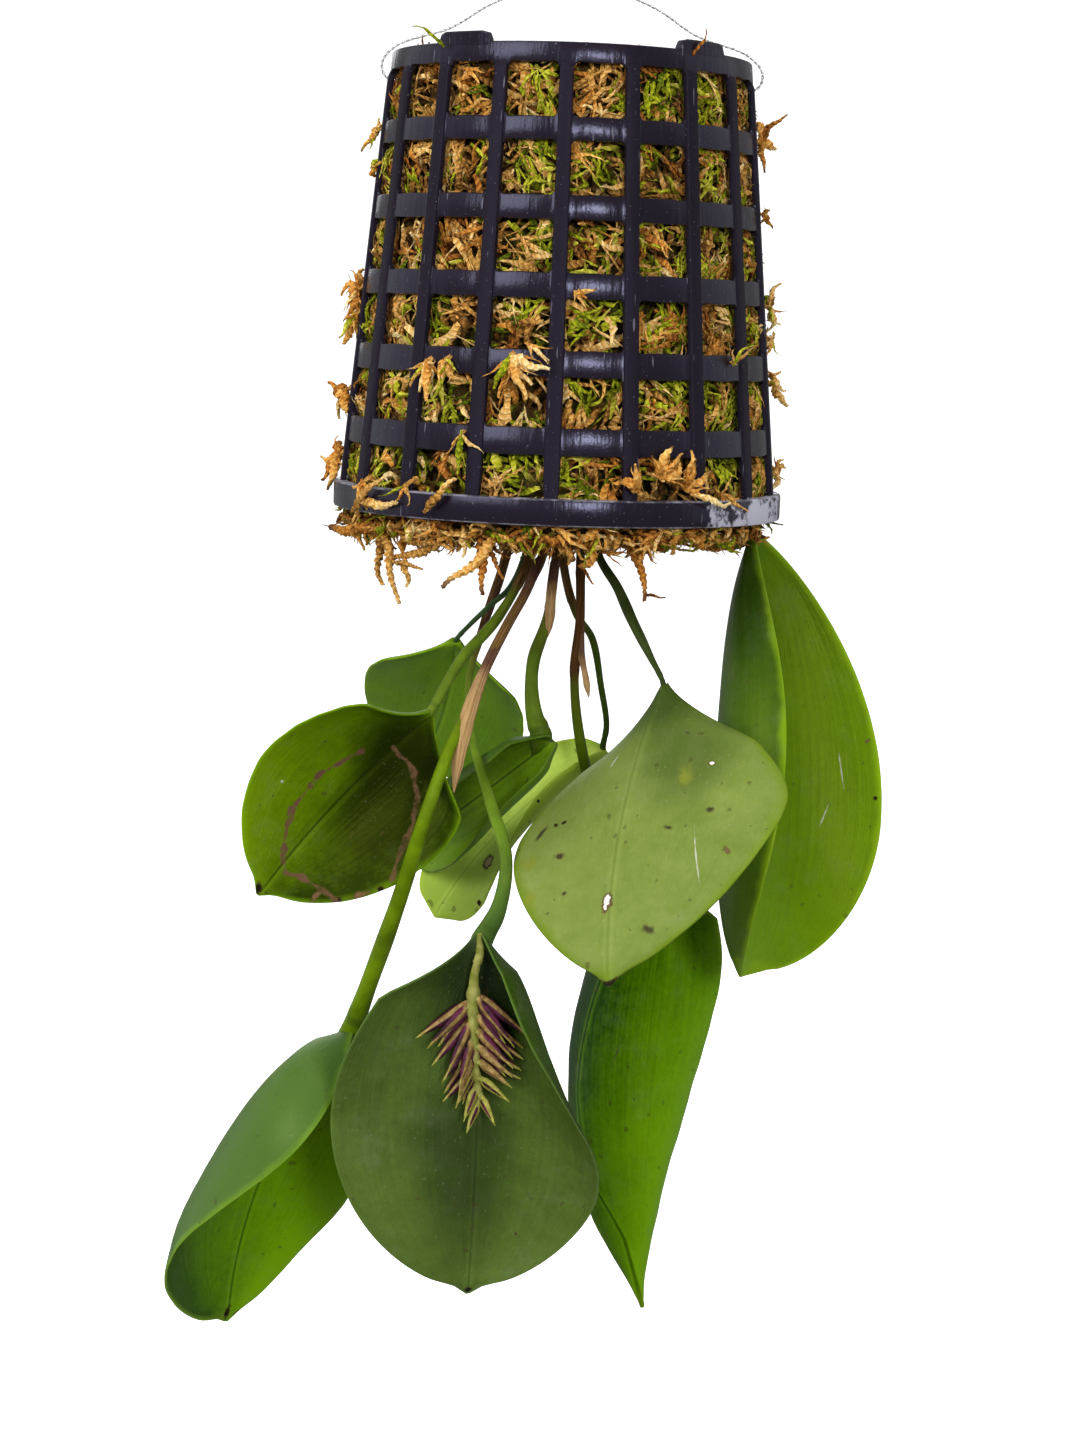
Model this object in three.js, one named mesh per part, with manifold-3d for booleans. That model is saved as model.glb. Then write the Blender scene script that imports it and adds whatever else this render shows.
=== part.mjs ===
// Pendent orchid growing out of the mouth of an upturned black net pot that hangs by a wire.
// Millimetres, +Z up. The origin is the inside top of the hanging eye; -Y is the front.

import * as THREE from "three";
import { mergeVertices } from "three/addons/utils/BufferGeometryUtils.js";
import Module from "manifold-3d";

const wasm = await Module();
wasm.setup();

// Driving dimensions of the net pot and its hanger
const hangDrop = 24; // from the eye down to the pot's closed end
const potHeight = 89;
const closedEndRadius = 35.5;
const mouthWallRadius = 43.9;
const rimRadius = 45;
const rimHeight = 5.1;
const topBandHeight = 3.8;
const ribCount = 18;
const ribPhase = -1.5; // degrees from the front
const ribWidthAtMouth = 3.3;
const ribWidthAtTop = 2.7;
const ribProud = 0.5;
const ribDepth = 1.2;
const ringThickness = 1.2;
const ringCount = 5;
const ringPitch = 14.4;
const firstRingCentre = 15.6; // above the mouth
const ringWidthAtMouth = 5.5;
const ringWidthAtTop = 4.3;
const plateThickness = 1.4;
const ringSegments = 36;
const footHeight = 1.9;
const footAngles = [-35.5, 44.5, 144.5, 224.5];
const gap = 0.35; // running clearance between neighbours that touch

const plateZ = -hangDrop;
const mouthZ = plateZ - potHeight;

// Materials
const paint = (color, roughness) =>
  new THREE.MeshStandardMaterial({ color, roughness, metalness: 0 });
const blackPlastic = paint(0x15161f, 0.35);
const mossBrown = paint(0x8a6a2c, 0.95);
const leafGreen = paint(0x3f6b1e, 0.4);
const stemGreen = paint(0x55782a, 0.5);
const dryBract = paint(0x8d6a43, 0.8);
const flowerMaroon = paint(0x6d3540, 0.6);
const zincWire = new THREE.MeshStandardMaterial({
  color: 0xa0a4a6,
  roughness: 0.35,
  metalness: 0.9,
});

const group = new THREE.Group();

function addMesh(name, solidOrGeometry, material) {
  const geometry = solidOrGeometry.isBufferGeometry
    ? solidOrGeometry
    : geometryOf(solidOrGeometry);
  const mesh = new THREE.Mesh(geometry, material);
  mesh.name = name;
  group.add(mesh);
}

// A closed geometry as a solid that can be joined and cut
function solidOf(geometry) {
  const bare = new THREE.BufferGeometry();
  const flat = geometry.index ? geometry.toNonIndexed() : geometry;
  bare.setAttribute("position", flat.getAttribute("position"));
  const merged = mergeVertices(bare, 1e-4);
  return new wasm.Manifold(
    new wasm.Mesh({
      numProp: 3,
      vertProperties: merged.attributes.position.array,
      triVerts: new Uint32Array(merged.index.array),
    }),
  );
}

function geometryOf(solid) {
  const mesh = solid.getMesh();
  return new THREE.BufferGeometry()
    .setAttribute(
      "position",
      new THREE.BufferAttribute(new Float32Array(mesh.vertProperties), 3),
    )
    .setIndex(new THREE.BufferAttribute(new Uint32Array(mesh.triVerts), 1));
}

const unite = (solids) => solids.reduce((sum, solid) => sum.add(solid));

// The largest separate piece of a solid, without the scraps that a cut can leave
function largest(solid) {
  const pieces = solid.decompose();
  return pieces.reduce((a, b) => (a.volume() > b.volume() ? a : b));
}

// Repeatable random numbers from 0 to 1
function randomFrom(seed) {
  let state = seed;
  return () => {
    state = (state * 1664525 + 1013904223) % 4294967296;
    return state / 4294967296;
  };
}

const clamp = (x, low, high) => Math.min(high, Math.max(low, x));
const mix = (a, b, t) => a + (b - a) * t;
const smooth = (t) => {
  const c = clamp(t, 0, 1);
  return c * c * (3 - 2 * c);
};
const radians = THREE.MathUtils.degToRad;

// A closed surface from two grids of points, outer and inner, rows by columns
function slabGeometry(outer, inner) {
  const rows = outer.length;
  const columns = outer[0].length;
  const points = [...outer.flat(), ...inner.flat()];
  const faces = [];
  const top = (r, c) => r * columns + c;
  const under = (r, c) => rows * columns + r * columns + c;
  const quad = (a, b, c, d) => faces.push(a, b, c, a, c, d);
  for (let r = 0; r < rows - 1; r++) {
    for (let c = 0; c < columns - 1; c++) {
      quad(top(r, c), top(r + 1, c), top(r + 1, c + 1), top(r, c + 1));
      faces.push(under(r, c), under(r + 1, c + 1), under(r + 1, c));
      faces.push(under(r, c), under(r, c + 1), under(r + 1, c + 1));
    }
  }
  const last = columns - 1;
  for (let r = 0; r < rows - 1; r++) {
    quad(top(r, 0), under(r, 0), under(r + 1, 0), top(r + 1, 0));
    quad(top(r, last), top(r + 1, last), under(r + 1, last), under(r, last));
  }
  const end = rows - 1;
  for (let c = 0; c < last; c++) {
    quad(top(0, c), top(0, c + 1), under(0, c + 1), under(0, c));
    quad(top(end, c), under(end, c), under(end, c + 1), top(end, c + 1));
  }
  const geometry = new THREE.BufferGeometry();
  const flat = new Float32Array(points.flatMap((p) => [p.x, p.y, p.z]));
  geometry.setAttribute("position", new THREE.BufferAttribute(flat, 3));
  geometry.setIndex(faces);
  return geometry;
}

const curveThrough = (points) =>
  new THREE.CatmullRomCurve3(
    points.map((p) => new THREE.Vector3(...p)),
    false,
    "centripetal",
  );

// Directions across a curve that turn as little as they can; side starts near +X
function framesAlong(curve, steps) {
  const frames = [];
  let side = new THREE.Vector3(1, 0, 0);
  for (let i = 0; i <= steps; i++) {
    const tangent = curve.getTangentAt(i / steps);
    side = side.clone().addScaledVector(tangent, -side.dot(tangent)).normalize();
    frames.push({
      centre: curve.getPointAt(i / steps),
      tangent,
      side,
      front: new THREE.Vector3().crossVectors(tangent, side),
    });
  }
  return frames;
}

// A round or flattened rod along a curve; size(t) gives its half width and half depth
function rodGeometry(curve, size, sides, steps) {
  const frames = framesAlong(curve, steps);
  const points = [];
  const faces = [];
  frames.forEach((f, i) => {
    const [wide, deep] = size(i / steps);
    for (let k = 0; k < sides; k++) {
      const angle = (2 * Math.PI * (k + 0.5)) / sides;
      points.push(
        f.centre
          .clone()
          .addScaledVector(f.side, wide * Math.cos(angle))
          .addScaledVector(f.front, deep * Math.sin(angle)),
      );
    }
  });
  const at = (i, k) => i * sides + (k % sides);
  for (let i = 0; i < steps; i++) {
    for (let k = 0; k < sides; k++) {
      faces.push(at(i, k), at(i + 1, k + 1), at(i + 1, k));
      faces.push(at(i, k), at(i, k + 1), at(i + 1, k + 1));
    }
  }
  for (let k = 1; k < sides - 1; k++) {
    faces.push(at(0, 0), at(0, k + 1), at(0, k));
    faces.push(at(steps, 0), at(steps, k), at(steps, k + 1));
  }
  const geometry = new THREE.BufferGeometry();
  const flat = new Float32Array(points.flatMap((p) => [p.x, p.y, p.z]));
  geometry.setAttribute("position", new THREE.BufferAttribute(flat, 3));
  geometry.setIndex(faces);
  return geometry;
}

function rodSolid(curve, size, sides, steps) {
  const solid = solidOf(rodGeometry(curve, size, sides, steps));
  if (solid.volume() < 0) throw new Error("a rod is inside out");
  return solid;
}

// Net pot: wall of ribs and rings, mouth rim, closed end with feet

const heightAboveMouth = (z) => z - mouthZ;
const wallRadius = (z) =>
  mix(mouthWallRadius, closedEndRadius, heightAboveMouth(z) / potHeight);

// A ring turned from a profile of [radius, z] corners
function turned(corners, segments = ringSegments) {
  const profile = corners.map(([r, z]) => new THREE.Vector2(r, z));
  profile.push(profile[0].clone());
  const lathe = new THREE.LatheGeometry(profile, segments);
  lathe.deleteAttribute("uv");
  lathe.deleteAttribute("normal");
  lathe.rotateX(Math.PI / 2);
  return solidOf(lathe);
}

// Angle in degrees from the front (-Y), positive to +X, at a radius and height
function onWall(angle, radius, z) {
  const a = radians(angle);
  return new THREE.Vector3(radius * Math.sin(a), -radius * Math.cos(a), z);
}

const ringBand = (centre) => {
  const t = heightAboveMouth(centre) / potHeight;
  const half = mix(ringWidthAtMouth, ringWidthAtTop, t) / 2;
  return [centre - half, centre + half];
};

function wallRing(lowZ, highZ) {
  return turned(
    [
      [wallRadius(lowZ) - ringThickness, lowZ],
      [wallRadius(lowZ), lowZ],
      [wallRadius(highZ), highZ],
      [wallRadius(highZ) - ringThickness, highZ],
    ],
  );
}

// An eight-cornered bar between two rectangles, each given as centre angle, radii and height
function barBetween(angle, low, high) {
  const corners = [low, high].flatMap(({ z, inner, outer, width }) =>
    [
      [inner, -1],
      [outer, -1],
      [outer, 1],
      [inner, 1],
    ].map(([radius, side]) => {
      const sideways = THREE.MathUtils.radToDeg(width / 2 / radius) * side;
      return onWall(angle + sideways, radius, z);
    }),
  );
  const quads = [
    [3, 2, 1, 0],
    [4, 5, 6, 7],
    [0, 1, 5, 4],
    [1, 2, 6, 5],
    [2, 3, 7, 6],
    [3, 0, 4, 7],
  ];
  const geometry = new THREE.BufferGeometry().setFromPoints(corners);
  geometry.setIndex(quads.flatMap(([a, b, c, d]) => [a, b, c, a, c, d]));
  const solid = solidOf(geometry);
  return solid.volume() > 0 ? solid : solidOf(reversed(geometry));
}

function reversed(geometry) {
  const index = geometry.index.array;
  for (let i = 0; i < index.length; i += 3)
    [index[i], index[i + 1]] = [index[i + 1], index[i]];
  return geometry;
}

function potRib(angle) {
  const lowZ = mouthZ + rimHeight / 2;
  const highZ = plateZ - plateThickness / 2;
  const end = (z, width) => ({
    z,
    width,
    inner: wallRadius(z) + ribProud - ribDepth,
    outer: wallRadius(z) + ribProud,
  });
  return barBetween(angle, end(lowZ, ribWidthAtMouth), end(highZ, ribWidthAtTop));
}

function potFoot(angle) {
  const halfSpan = 10;
  const width = radians(2 * halfSpan) * closedEndRadius;
  const end = (z, w) => ({
    z,
    width: w,
    inner: closedEndRadius - 2.2,
    outer: closedEndRadius + 0.1,
  });
  const half = width / 2;
  const leftHalf = barBetween(
    angle - halfSpan / 2,
    end(plateZ - 0.8, half + 1),
    end(plateZ + footHeight, half),
  );
  const rightHalf = barBetween(
    angle + halfSpan / 2,
    end(plateZ - 0.8, half + 1),
    end(plateZ + footHeight, half),
  );
  return leftHalf.add(rightHalf);
}

function netPot() {
  const parts = [];
  const rimInner = mouthWallRadius - 1.7;
  parts.push(
    turned(
      [
        [rimInner, mouthZ],
        [rimRadius, mouthZ],
        [rimRadius, mouthZ + rimHeight],
        [rimInner, mouthZ + rimHeight],
      ],
    ),
  );
  for (let i = 0; i < ringCount; i++)
    parts.push(wallRing(...ringBand(mouthZ + firstRingCentre + i * ringPitch)));
  parts.push(wallRing(plateZ - topBandHeight, plateZ));
  for (let k = 0; k < ribCount; k++)
    parts.push(potRib(ribPhase + (360 / ribCount) * k));
  // The closed end: an outer ring, a middle ring, a hub and six spokes between them
  const plateRing = (inner, outer) =>
    turned(
      [
        [inner, plateZ - plateThickness],
        [outer, plateZ - plateThickness],
        [outer, plateZ],
        [inner, plateZ],
      ],
    );
  const hub = new THREE.CylinderGeometry(8, 8, plateThickness, 18);
  hub.rotateX(Math.PI / 2).translate(0, 0, plateZ - plateThickness / 2);
  parts.push(solidOf(hub));
  parts.push(plateRing(closedEndRadius - 5, closedEndRadius - 0.3));
  parts.push(plateRing(17.5, 20.5));
  for (let k = 0; k < ribCount / 3; k++) {
    const spokeEnd = (z) => ({ z, width: 2.6, inner: 6, outer: closedEndRadius - 3 });
    parts.push(
      barBetween(
        ribPhase + (1080 / ribCount) * k,
        spokeEnd(plateZ - plateThickness + 0.1),
        spokeEnd(plateZ - 0.1),
      ),
    );
  }
  footAngles.forEach((angle) => parts.push(potFoot(angle)));
  return unite(parts);
}

// Plant: stems from a creeping rhizome, one leaf to a stem

// Each stem runs from the rhizome to the joint with its leaf. neck and joint are half widths.
const stems = {
  flower: {
    path: [
      [-8, 7, -107], [-9.5, 7, -121], [-13.8, 6, -136.3], [-16.7, 0, -149], [-15.3, -10, -158.5],
      [-11, -21, -169.5], [-7.4, -28, -179.6], [-8.6, -30, -189.3], [-11.6, -30.5, -195.5],
    ],
    neck: 0.8, joint: 1.5, widenFrom: 0.1, flatness: 0.75,
  },
  upperLeft: {
    path: [[-5, -2, -107], [-5.8, -2.6, -121], [-8.9, -0.6, -129], [-13, 1.6, -133.1], [-19.6, 6, -140.6]],
    neck: 0.7, joint: 1, widenFrom: 0, flatness: 0.8,
  },
  left: {
    path: [[-3, -3, -107], [-4.6, -5, -121], [-10.8, -8.5, -134], [-17.6, -14, -142], [-21.4, -17, -148.5],
      [-23.4, -18, -152.3]],
    neck: 0.8, joint: 1.6, widenFrom: 0, flatness: 0.7,
  },
  lowerLeft: {
    path: [
      [0, -5, -107], [-2, -9.5, -120], [-5.3, -13, -128], [-9, -16, -135], [-13.1, -20, -143.5],
      [-17.1, -25, -153.5], [-19.8, -29, -160], [-24, -32, -173.6], [-28, -28, -188], [-33.3, -19, -205],
      [-38.2, -13, -219.5],
    ],
    neck: 0.75, joint: 2.3, widenFrom: 0.3, flatness: 0.7,
  },
  centre: {
    path: [[1, 0, -107], [0.4, 0, -121], [-1, -2, -134.7], [-3.6, -5, -143], [-3.7, -7, -149],
      [-2.6, -8, -154.5], [0.2, -8, -158.2]],
    neck: 0.8, joint: 2, widenFrom: 0.15, flatness: 0.7,
  },
  hindCentre: {
    path: [[3, 5, -107], [1.6, 6, -121.5], [4.8, 8, -134.5], [8.3, 9, -139.7], [10.6, 11, -150],
      [12.1, 13, -158.5], [11.6, 14, -162.5]],
    neck: 0.75, joint: 0.95, widenFrom: 0, flatness: 0.8,
  },
  lowerRight: {
    path: [[5, -2, -107], [5.2, -2, -121], [5.6, 0, -135], [4.9, 2, -146.5], [6.3, 4, -159],
      [9.5, 6, -171], [16, 7, -183], [22.5, 7, -190]],
    neck: 0.85, joint: 1.5, widenFrom: 0.1, flatness: 0.75,
  },
  frontRight: {
    path: [[8, -5, -107], [8.6, -7, -120.5], [12.8, -11, -127.3], [15.8, -15, -133.2], [19.4, -19, -139.6],
      [22.1, -22, -144.6]],
    neck: 0.9, joint: 1.35, widenFrom: 0, flatness: 0.8,
  },
  right: {
    path: [[24, 11, -107], [28, 13, -115.5], [32, 14, -119.4], [36.6, 13, -119.8], [40.3, 10.5, -118.2]],
    neck: 0.9, joint: 1.3, widenFrom: 0, flatness: 0.8,
  },
};

const stemCurve = (stem) => curveThrough(stem.path);

// Half width and half depth of a stem: slender from the moss to widenFrom, then wider to the leaf
const stemSize = (stem) => (t) => {
  const wide = mix(stem.neck, stem.joint, smooth((t - stem.widenFrom) / (1 - stem.widenFrom)));
  return [wide, wide * mix(0.95, stem.flatness, smooth(t * 1.5))];
};
const stemSides = 6;

// Leaves. lean: front view angle of the axis, 0 straight down, positive to +X. toward: tilt of the axis
// to the front. face: turn about the axis, 0 with the inner face to the front, positive to +X.
// left and right are half widths seen on the inner face; curl is the angle that each half turns through
// at the base and near the tip; bow bends the tip to the inner side, sway to the right.
const leaves = {
  flower: {
    base: [-11.9, -31, -196.3], lean: 1.6, toward: 0.65, face: 3.9, length: 71, left: 29, right: 29,
    widest: 0.49, baseFull: 0.40, tipFull: 0.64, curlBase: [56, 150], curlTip: [6, 48],
    curlMid: [-29, -2], curlEnd: 0.9, bow: -6.5, sway: -2.8, twist: -15.7, lobe: 2.4,
  },
  upperLeft: {
    base: [-19.9, 6.5, -141.1], lean: -2.8, toward: -44, face: -5.8, length: 43, left: 17.9, right: 18.7,
    widest: 0.40, baseFull: 0.40, tipFull: 0.38, curlBase: [34, 52], curlTip: [18, 19],
    curlMid: [-10, -12], curlEnd: 1, bow: 3.0, sway: -15.7, twist: 15.6, lobe: 0.1,
  },
  left: {
    base: [-23.6, -18.2, -152.9], lean: -49, toward: 6.5, face: 20, length: 48, left: 22, right: 23,
    widest: 0.34, baseFull: 0.46, tipFull: 0.62, curlBase: [92, 71], curlTip: [15, 33],
    curlMid: [-24, 4], curlEnd: 1, bow: 19.5, sway: 6.1, twist: 1.7, lobe: 0.2,
  },
  lowerLeft: {
    base: [-38.6, -12.5, -220.3], lean: -37, toward: -16.6, face: 26, length: 75, left: 38, right: 21,
    widest: 0.22, baseFull: 0.35, tipFull: 0.60, curlBase: [150, 111], curlTip: [58, 5],
    curlMid: [-9, 1], curlEnd: 1, bow: 20, sway: 25, twist: -11.4, lobe: 2.3,
  },
  centre: {
    base: [0.6, -8, -159], lean: -47, toward: -25, face: -0.27, length: 50, left: 15.0, right: 12.2,
    widest: 0.41, baseFull: 0.36, tipFull: 0.46, curlBase: [91, 122], curlTip: [23, 37],
    curlMid: [53, 38], curlEnd: 1, bow: -13.7, sway: 0.68, twist: -2.9, lobe: 1.3,
  },
  hindCentre: {
    base: [12.2, 14.3, -164], lean: -58, toward: -1.50, face: -46, length: 50, left: 10.6, right: 11.3,
    widest: 0.52, baseFull: 0.48, tipFull: 0.26, curlBase: [75, 122], curlTip: [27, 1],
    curlMid: [7, 23], curlEnd: 1, bow: -14.9, sway: 25, twist: -7.6, lobe: 0.0,
  },
  lowerRight: {
    base: [23, 7, -190.8], lean: -15.5, toward: 11.6, face: 143, length: 89, left: 21, right: 19.7,
    widest: 0.31, baseFull: 0.37, tipFull: 1.15, curlBase: [59, 72], curlTip: [83, 57],
    curlMid: [19, 2], curlEnd: 1, bow: 22, sway: -25, twist: -33, lobe: 5.2,
  },
  frontRight: {
    base: [22.3, -22.5, -145.2], lean: -21, toward: 22, face: 124, length: 61, left: 33, right: 26,
    widest: 0.38, baseFull: 0.62, tipFull: 0.85, neck: 0.5, curlBase: [63, 79], curlTip: [10, 2],
    curlMid: [-27, -27], curlEnd: 1, bow: 3.8, sway: -24, twist: -27, lobe: 1.0,
  },
  right: {
    base: [40.9, 9.8, -117.6], lean: -5.1, toward: 11.2, face: 30, length: 90, left: 31, right: 33,
    widest: 0.63, baseFull: 0.79, tipFull: 0.47, curlBase: [127, 30], curlTip: [87, 30],
    curlMid: [34, 27], curlEnd: 1, bow: 18.6, sway: -2.9, twist: -17.6, lobe: 1.0,
  },
};
const leafMidThickness = 1.3;
const leafEdgeThickness = 0.8;

// Half width share along the leaf: full at the widest place, small but not nothing at both ends;
// neck narrows the first eighth of a leaf that runs out of its stem
function outlineShare(leaf, u) {
  const base = (leaf.widest - u) / leaf.widest;
  const tip = (u - leaf.widest) / (1 - leaf.widest);
  const neck = mix(leaf.neck ?? 1, 1, smooth(u / 0.13));
  return u < leaf.widest
    ? neck * Math.pow(Math.max(0, 1 - base * base), leaf.baseFull)
    : Math.pow(Math.max(0, 1 - tip * tip), leaf.tipFull);
}

// Rows of points on the middle of the blade, with the direction of the inner face
function leafRows(leaf, rows, columns) {
  const lean = radians(leaf.lean);
  const toward = radians(leaf.toward);
  const tangent = new THREE.Vector3(
    Math.sin(lean) * Math.cos(toward),
    -Math.sin(toward),
    -Math.cos(lean) * Math.cos(toward),
  );
  const front = new THREE.Vector3(0, -1, 0);
  let inner = front.addScaledVector(tangent, -front.dot(tangent)).normalize();
  inner.applyAxisAngle(tangent, radians(-leaf.face));
  let side = new THREE.Vector3().crossVectors(inner, tangent);
  const centre = new THREE.Vector3(...leaf.base);
  const turn = (axis, degrees) => {
    [tangent, inner, side].forEach((v) => v.applyAxisAngle(axis, radians(degrees)));
  };
  const steps = 96;
  const rowSteps = Array.from({ length: rows + 1 }, (_, r) => {
    const even = r / rows;
    const eased = (1 - Math.cos(Math.PI * even)) / 2;
    return Math.round(steps * mix(even, eased, 0.6));
  });
  const grid = [];
  for (let i = 0; i <= steps; i++) {
    const u = i / steps;
    if (rowSteps.includes(i)) grid.push(leafRow(leaf, u, columns, { centre, side, inner, tangent }));
    centre.addScaledVector(tangent, leaf.length / steps);
    turn(side.clone(), -leaf.bow / steps);
    turn(inner.clone(), leaf.sway / steps);
    turn(tangent.clone(), leaf.twist / steps);
  }
  return grid;
}

// One row across the blade: each half lies on an arc that turns evenly from the midrib to the margin
function leafRow(leaf, u, columns, { centre, side, inner, tangent }) {
  const opened = smooth(u / leaf.curlEnd);
  return Array.from({ length: columns + 1 }, (_, c) => {
    const v = (2 * c) / columns - 1;
    const which = v < 0 ? 0 : 1;
    const half = v < 0 ? leaf.left : leaf.right;
    const curl = radians(
      mix(leaf.curlBase[which], leaf.curlTip[which], opened) + leaf.curlMid[which] * 4 * u * (1 - u),
    );
    const width = Math.max(half * outlineShare(leaf, u), mix(1.5, 0.5, u));
    const angle = Math.max(curl * Math.abs(v), 1e-4);
    const radius = (Math.abs(v) * width) / angle;
    const lobe = leaf.lobe * Math.pow(Math.abs(v), 1.6) * Math.pow(1 - u, 4);
    return centre
      .clone()
      .addScaledVector(side, radius * Math.sin(angle) * Math.sign(v))
      .addScaledVector(inner, radius * (1 - Math.cos(angle)))
      .addScaledVector(tangent, -lobe);
  });
}

// Normals of a grid of points by the directions to its neighbours
function gridNormals(grid) {
  return grid.map((row, r) =>
    row.map((_, c) => {
      const along = grid[Math.min(r + 1, grid.length - 1)][c]
        .clone()
        .sub(grid[Math.max(r - 1, 0)][c]);
      const across = row[Math.min(c + 1, row.length - 1)]
        .clone()
        .sub(row[Math.max(c - 1, 0)]);
      return new THREE.Vector3().crossVectors(along, across).normalize();
    }),
  );
}

function leafGeometry(leaf, rows = 10, columns = 8, extra = 0) {
  const grid = leafRows(leaf, rows, columns);
  const normals = gridNormals(grid);
  const shifted = (sign) =>
    grid.map((row, r) =>
      row.map((p, c) => {
        const v = Math.abs((2 * c) / columns - 1);
        const thick = mix(leafMidThickness, leafEdgeThickness, v * v) + extra;
        return p.clone().addScaledVector(normals[r][c], (sign * thick) / 2);
      }),
    );
  return slabGeometry(shifted(1), shifted(-1));
}

// Dry bracts that wrap the upper stems, each with a free pointed tip

const bracts = {
  lowerLeft: {
    path: [
      [-3.1, -11, -122], [-5.3, -13, -128], [-9, -16, -135], [-12.8, -20, -143], [-15.6, -24, -151],
      [-17, -26.5, -157], [-17.6, -28, -162], [-18, -29, -166.5],
    ],
    size: [1.75, 2.0, 2.35], tip: 0.35,
  },
  flower: {
    path: [[-9.7, 7, -122], [-11.5, 6.9, -129], [-13.8, 6, -136.3], [-15.2, 4.4, -141.5]],
    size: [1.85, 2.0, 1.8], tip: 0.4,
  },
  centre: {
    path: [[0.1, -0.5, -123], [-0.5, -1.6, -130], [-0.6, -2.6, -135], [-0.9, -3, -138.5]],
    size: [1.85, 2.0, 1.8], tip: 0.4,
  },
  lowerRight: {
    path: [[5.2, -1.9, -122], [5.6, -0.2, -133], [5.9, 0.8, -141], [7.2, 1.2, -147], [8, 1, -151]],
    size: [1.9, 2.1, 1.7], tip: 0.4,
  },
};

function bractSolid(name) {
  const bract = bracts[name];
  const [start, middle, late] = bract.size;
  const size = (t) => {
    const wide = t < 0.5 ? mix(start, middle, t * 2) : mix(middle, late, t * 2 - 1);
    const taper = t > 0.72 ? mix(1, bract.tip / late, smooth((t - 0.72) / 0.28)) : 1;
    return [wide * taper, Math.max(wide * 0.85 * taper, 0.4)];
  };
  const outside = rodSolid(curveThrough(bract.path), size, 6, 7);
  return largest(outside.subtract(stemRoom(name)));
}

// A stem's own room with the running clearance, a little longer than the stem at its buried end
function stemRoom(name) {
  const stem = stems[name];
  const [first, ...rest] = stem.path;
  const beyond = new THREE.Vector3(...stem.path.at(-1))
    .sub(new THREE.Vector3(...stem.path.at(-2)))
    .setLength(gap + 0.05)
    .add(new THREE.Vector3(...stem.path.at(-1)))
    .toArray();
  const longer = { ...stem, path: [[first[0], first[1], first[2] + 0.8], ...rest, beyond] };
  const size = stemSize(stem);
  const outsideFlats = (half) => (half + gap) / Math.cos(Math.PI / stemSides);
  return rodSolid(stemCurve(longer), (t) => size(t).map(outsideFlats), stemSides, 2 * rest.length + 4);
}

// Flower spike that lies in the hollow of the front leaf

const spike = {
  from: 0.02, to: 0.45, lift: 2.9, sway: -1.6, stalk: [0.9, 1.2, 0.5], pairs: 7, firstPair: 0.27,
  longest: 12.4, shortest: 6.2, flowerHalfWidth: 1.1, spreadLeft: [42, 27], spreadRight: [45, 52], rise: 12,
};

function flowerSpike(leaf) {
  const rows = 40;
  const grid = leafRows(leaf, rows, 8);
  const normals = gridNormals(grid);
  const onMidrib = (t) => {
    const r = clamp(Math.round(mix(spike.from, spike.to, t) * rows), 1, rows - 1);
    const place = grid[r][4].clone().addScaledVector(normals[r][4], spike.lift);
    place.x += spike.sway * Math.sin(Math.PI * t);
    return place;
  };
  const stations = [0, 0.2, 0.4, 0.6, 0.8, 1];
  const stalkCurve = new THREE.CatmullRomCurve3(stations.map(onMidrib), false, "centripetal");
  const [atFoot, atFirst, atTip] = spike.stalk;
  const stalkSize = (t) => {
    const r = t < 0.3 ? mix(atFoot, atFirst, t / 0.3) : mix(atFirst, atTip, (t - 0.3) / 0.7);
    return [r, r];
  };
  const solids = [rodSolid(stalkCurve, stalkSize, 5, 6)];
  const random = randomFrom(7);
  for (let i = 0; i < spike.pairs; i++) {
    for (const side of [-1, 1]) {
      const along = (i + (side < 0 ? 0.45 : 0)) / (spike.pairs - 0.55);
      const t = mix(spike.firstPair, 0.98, along);
      const foot = stalkCurve.getPointAt(t);
      const down = stalkCurve.getTangentAt(t);
      const across = new THREE.Vector3(1, 0, 0);
      const out = new THREE.Vector3().crossVectors(across, down).normalize();
      if (out.y > 0) out.negate();
      const [first, last] = side < 0 ? spike.spreadLeft : spike.spreadRight;
      const spread = radians(mix(first, last, along) + mix(-4, 4, random()));
      const rise = radians(spike.rise * mix(0.4, 1.6, random()));
      const aim = down
        .clone()
        .multiplyScalar(Math.cos(spread))
        .addScaledVector(across, side * Math.sin(spread))
        .normalize()
        .addScaledVector(out, Math.tan(rise))
        .normalize();
      const long = mix(spike.longest, spike.shortest, along);
      const middle = foot.clone().addScaledVector(aim, long * 0.5);
      middle.addScaledVector(out, 0.5);
      const tip = foot.clone().addScaledVector(aim, long);
      const curve = new THREE.QuadraticBezierCurve3(foot, middle, tip);
      const size = (s) => {
        const swell = Math.pow(Math.sin(Math.PI * mix(0.1, 0.97, s)), 0.8);
        const wide = Math.max(spike.flowerHalfWidth * swell, 0.3);
        return [wide, wide * 0.8];
      };
      solids.push(rodSolid(curve, size, 4, 3));
    }
  }
  return largest(unite(solids));
}

// Hanger: an eye with two wires that hook under the pot's top band

const wireRadius = 0.55;
const eyeInnerRadius = 4.5;
const hookAngles = [-91.5, 88.5];

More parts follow.
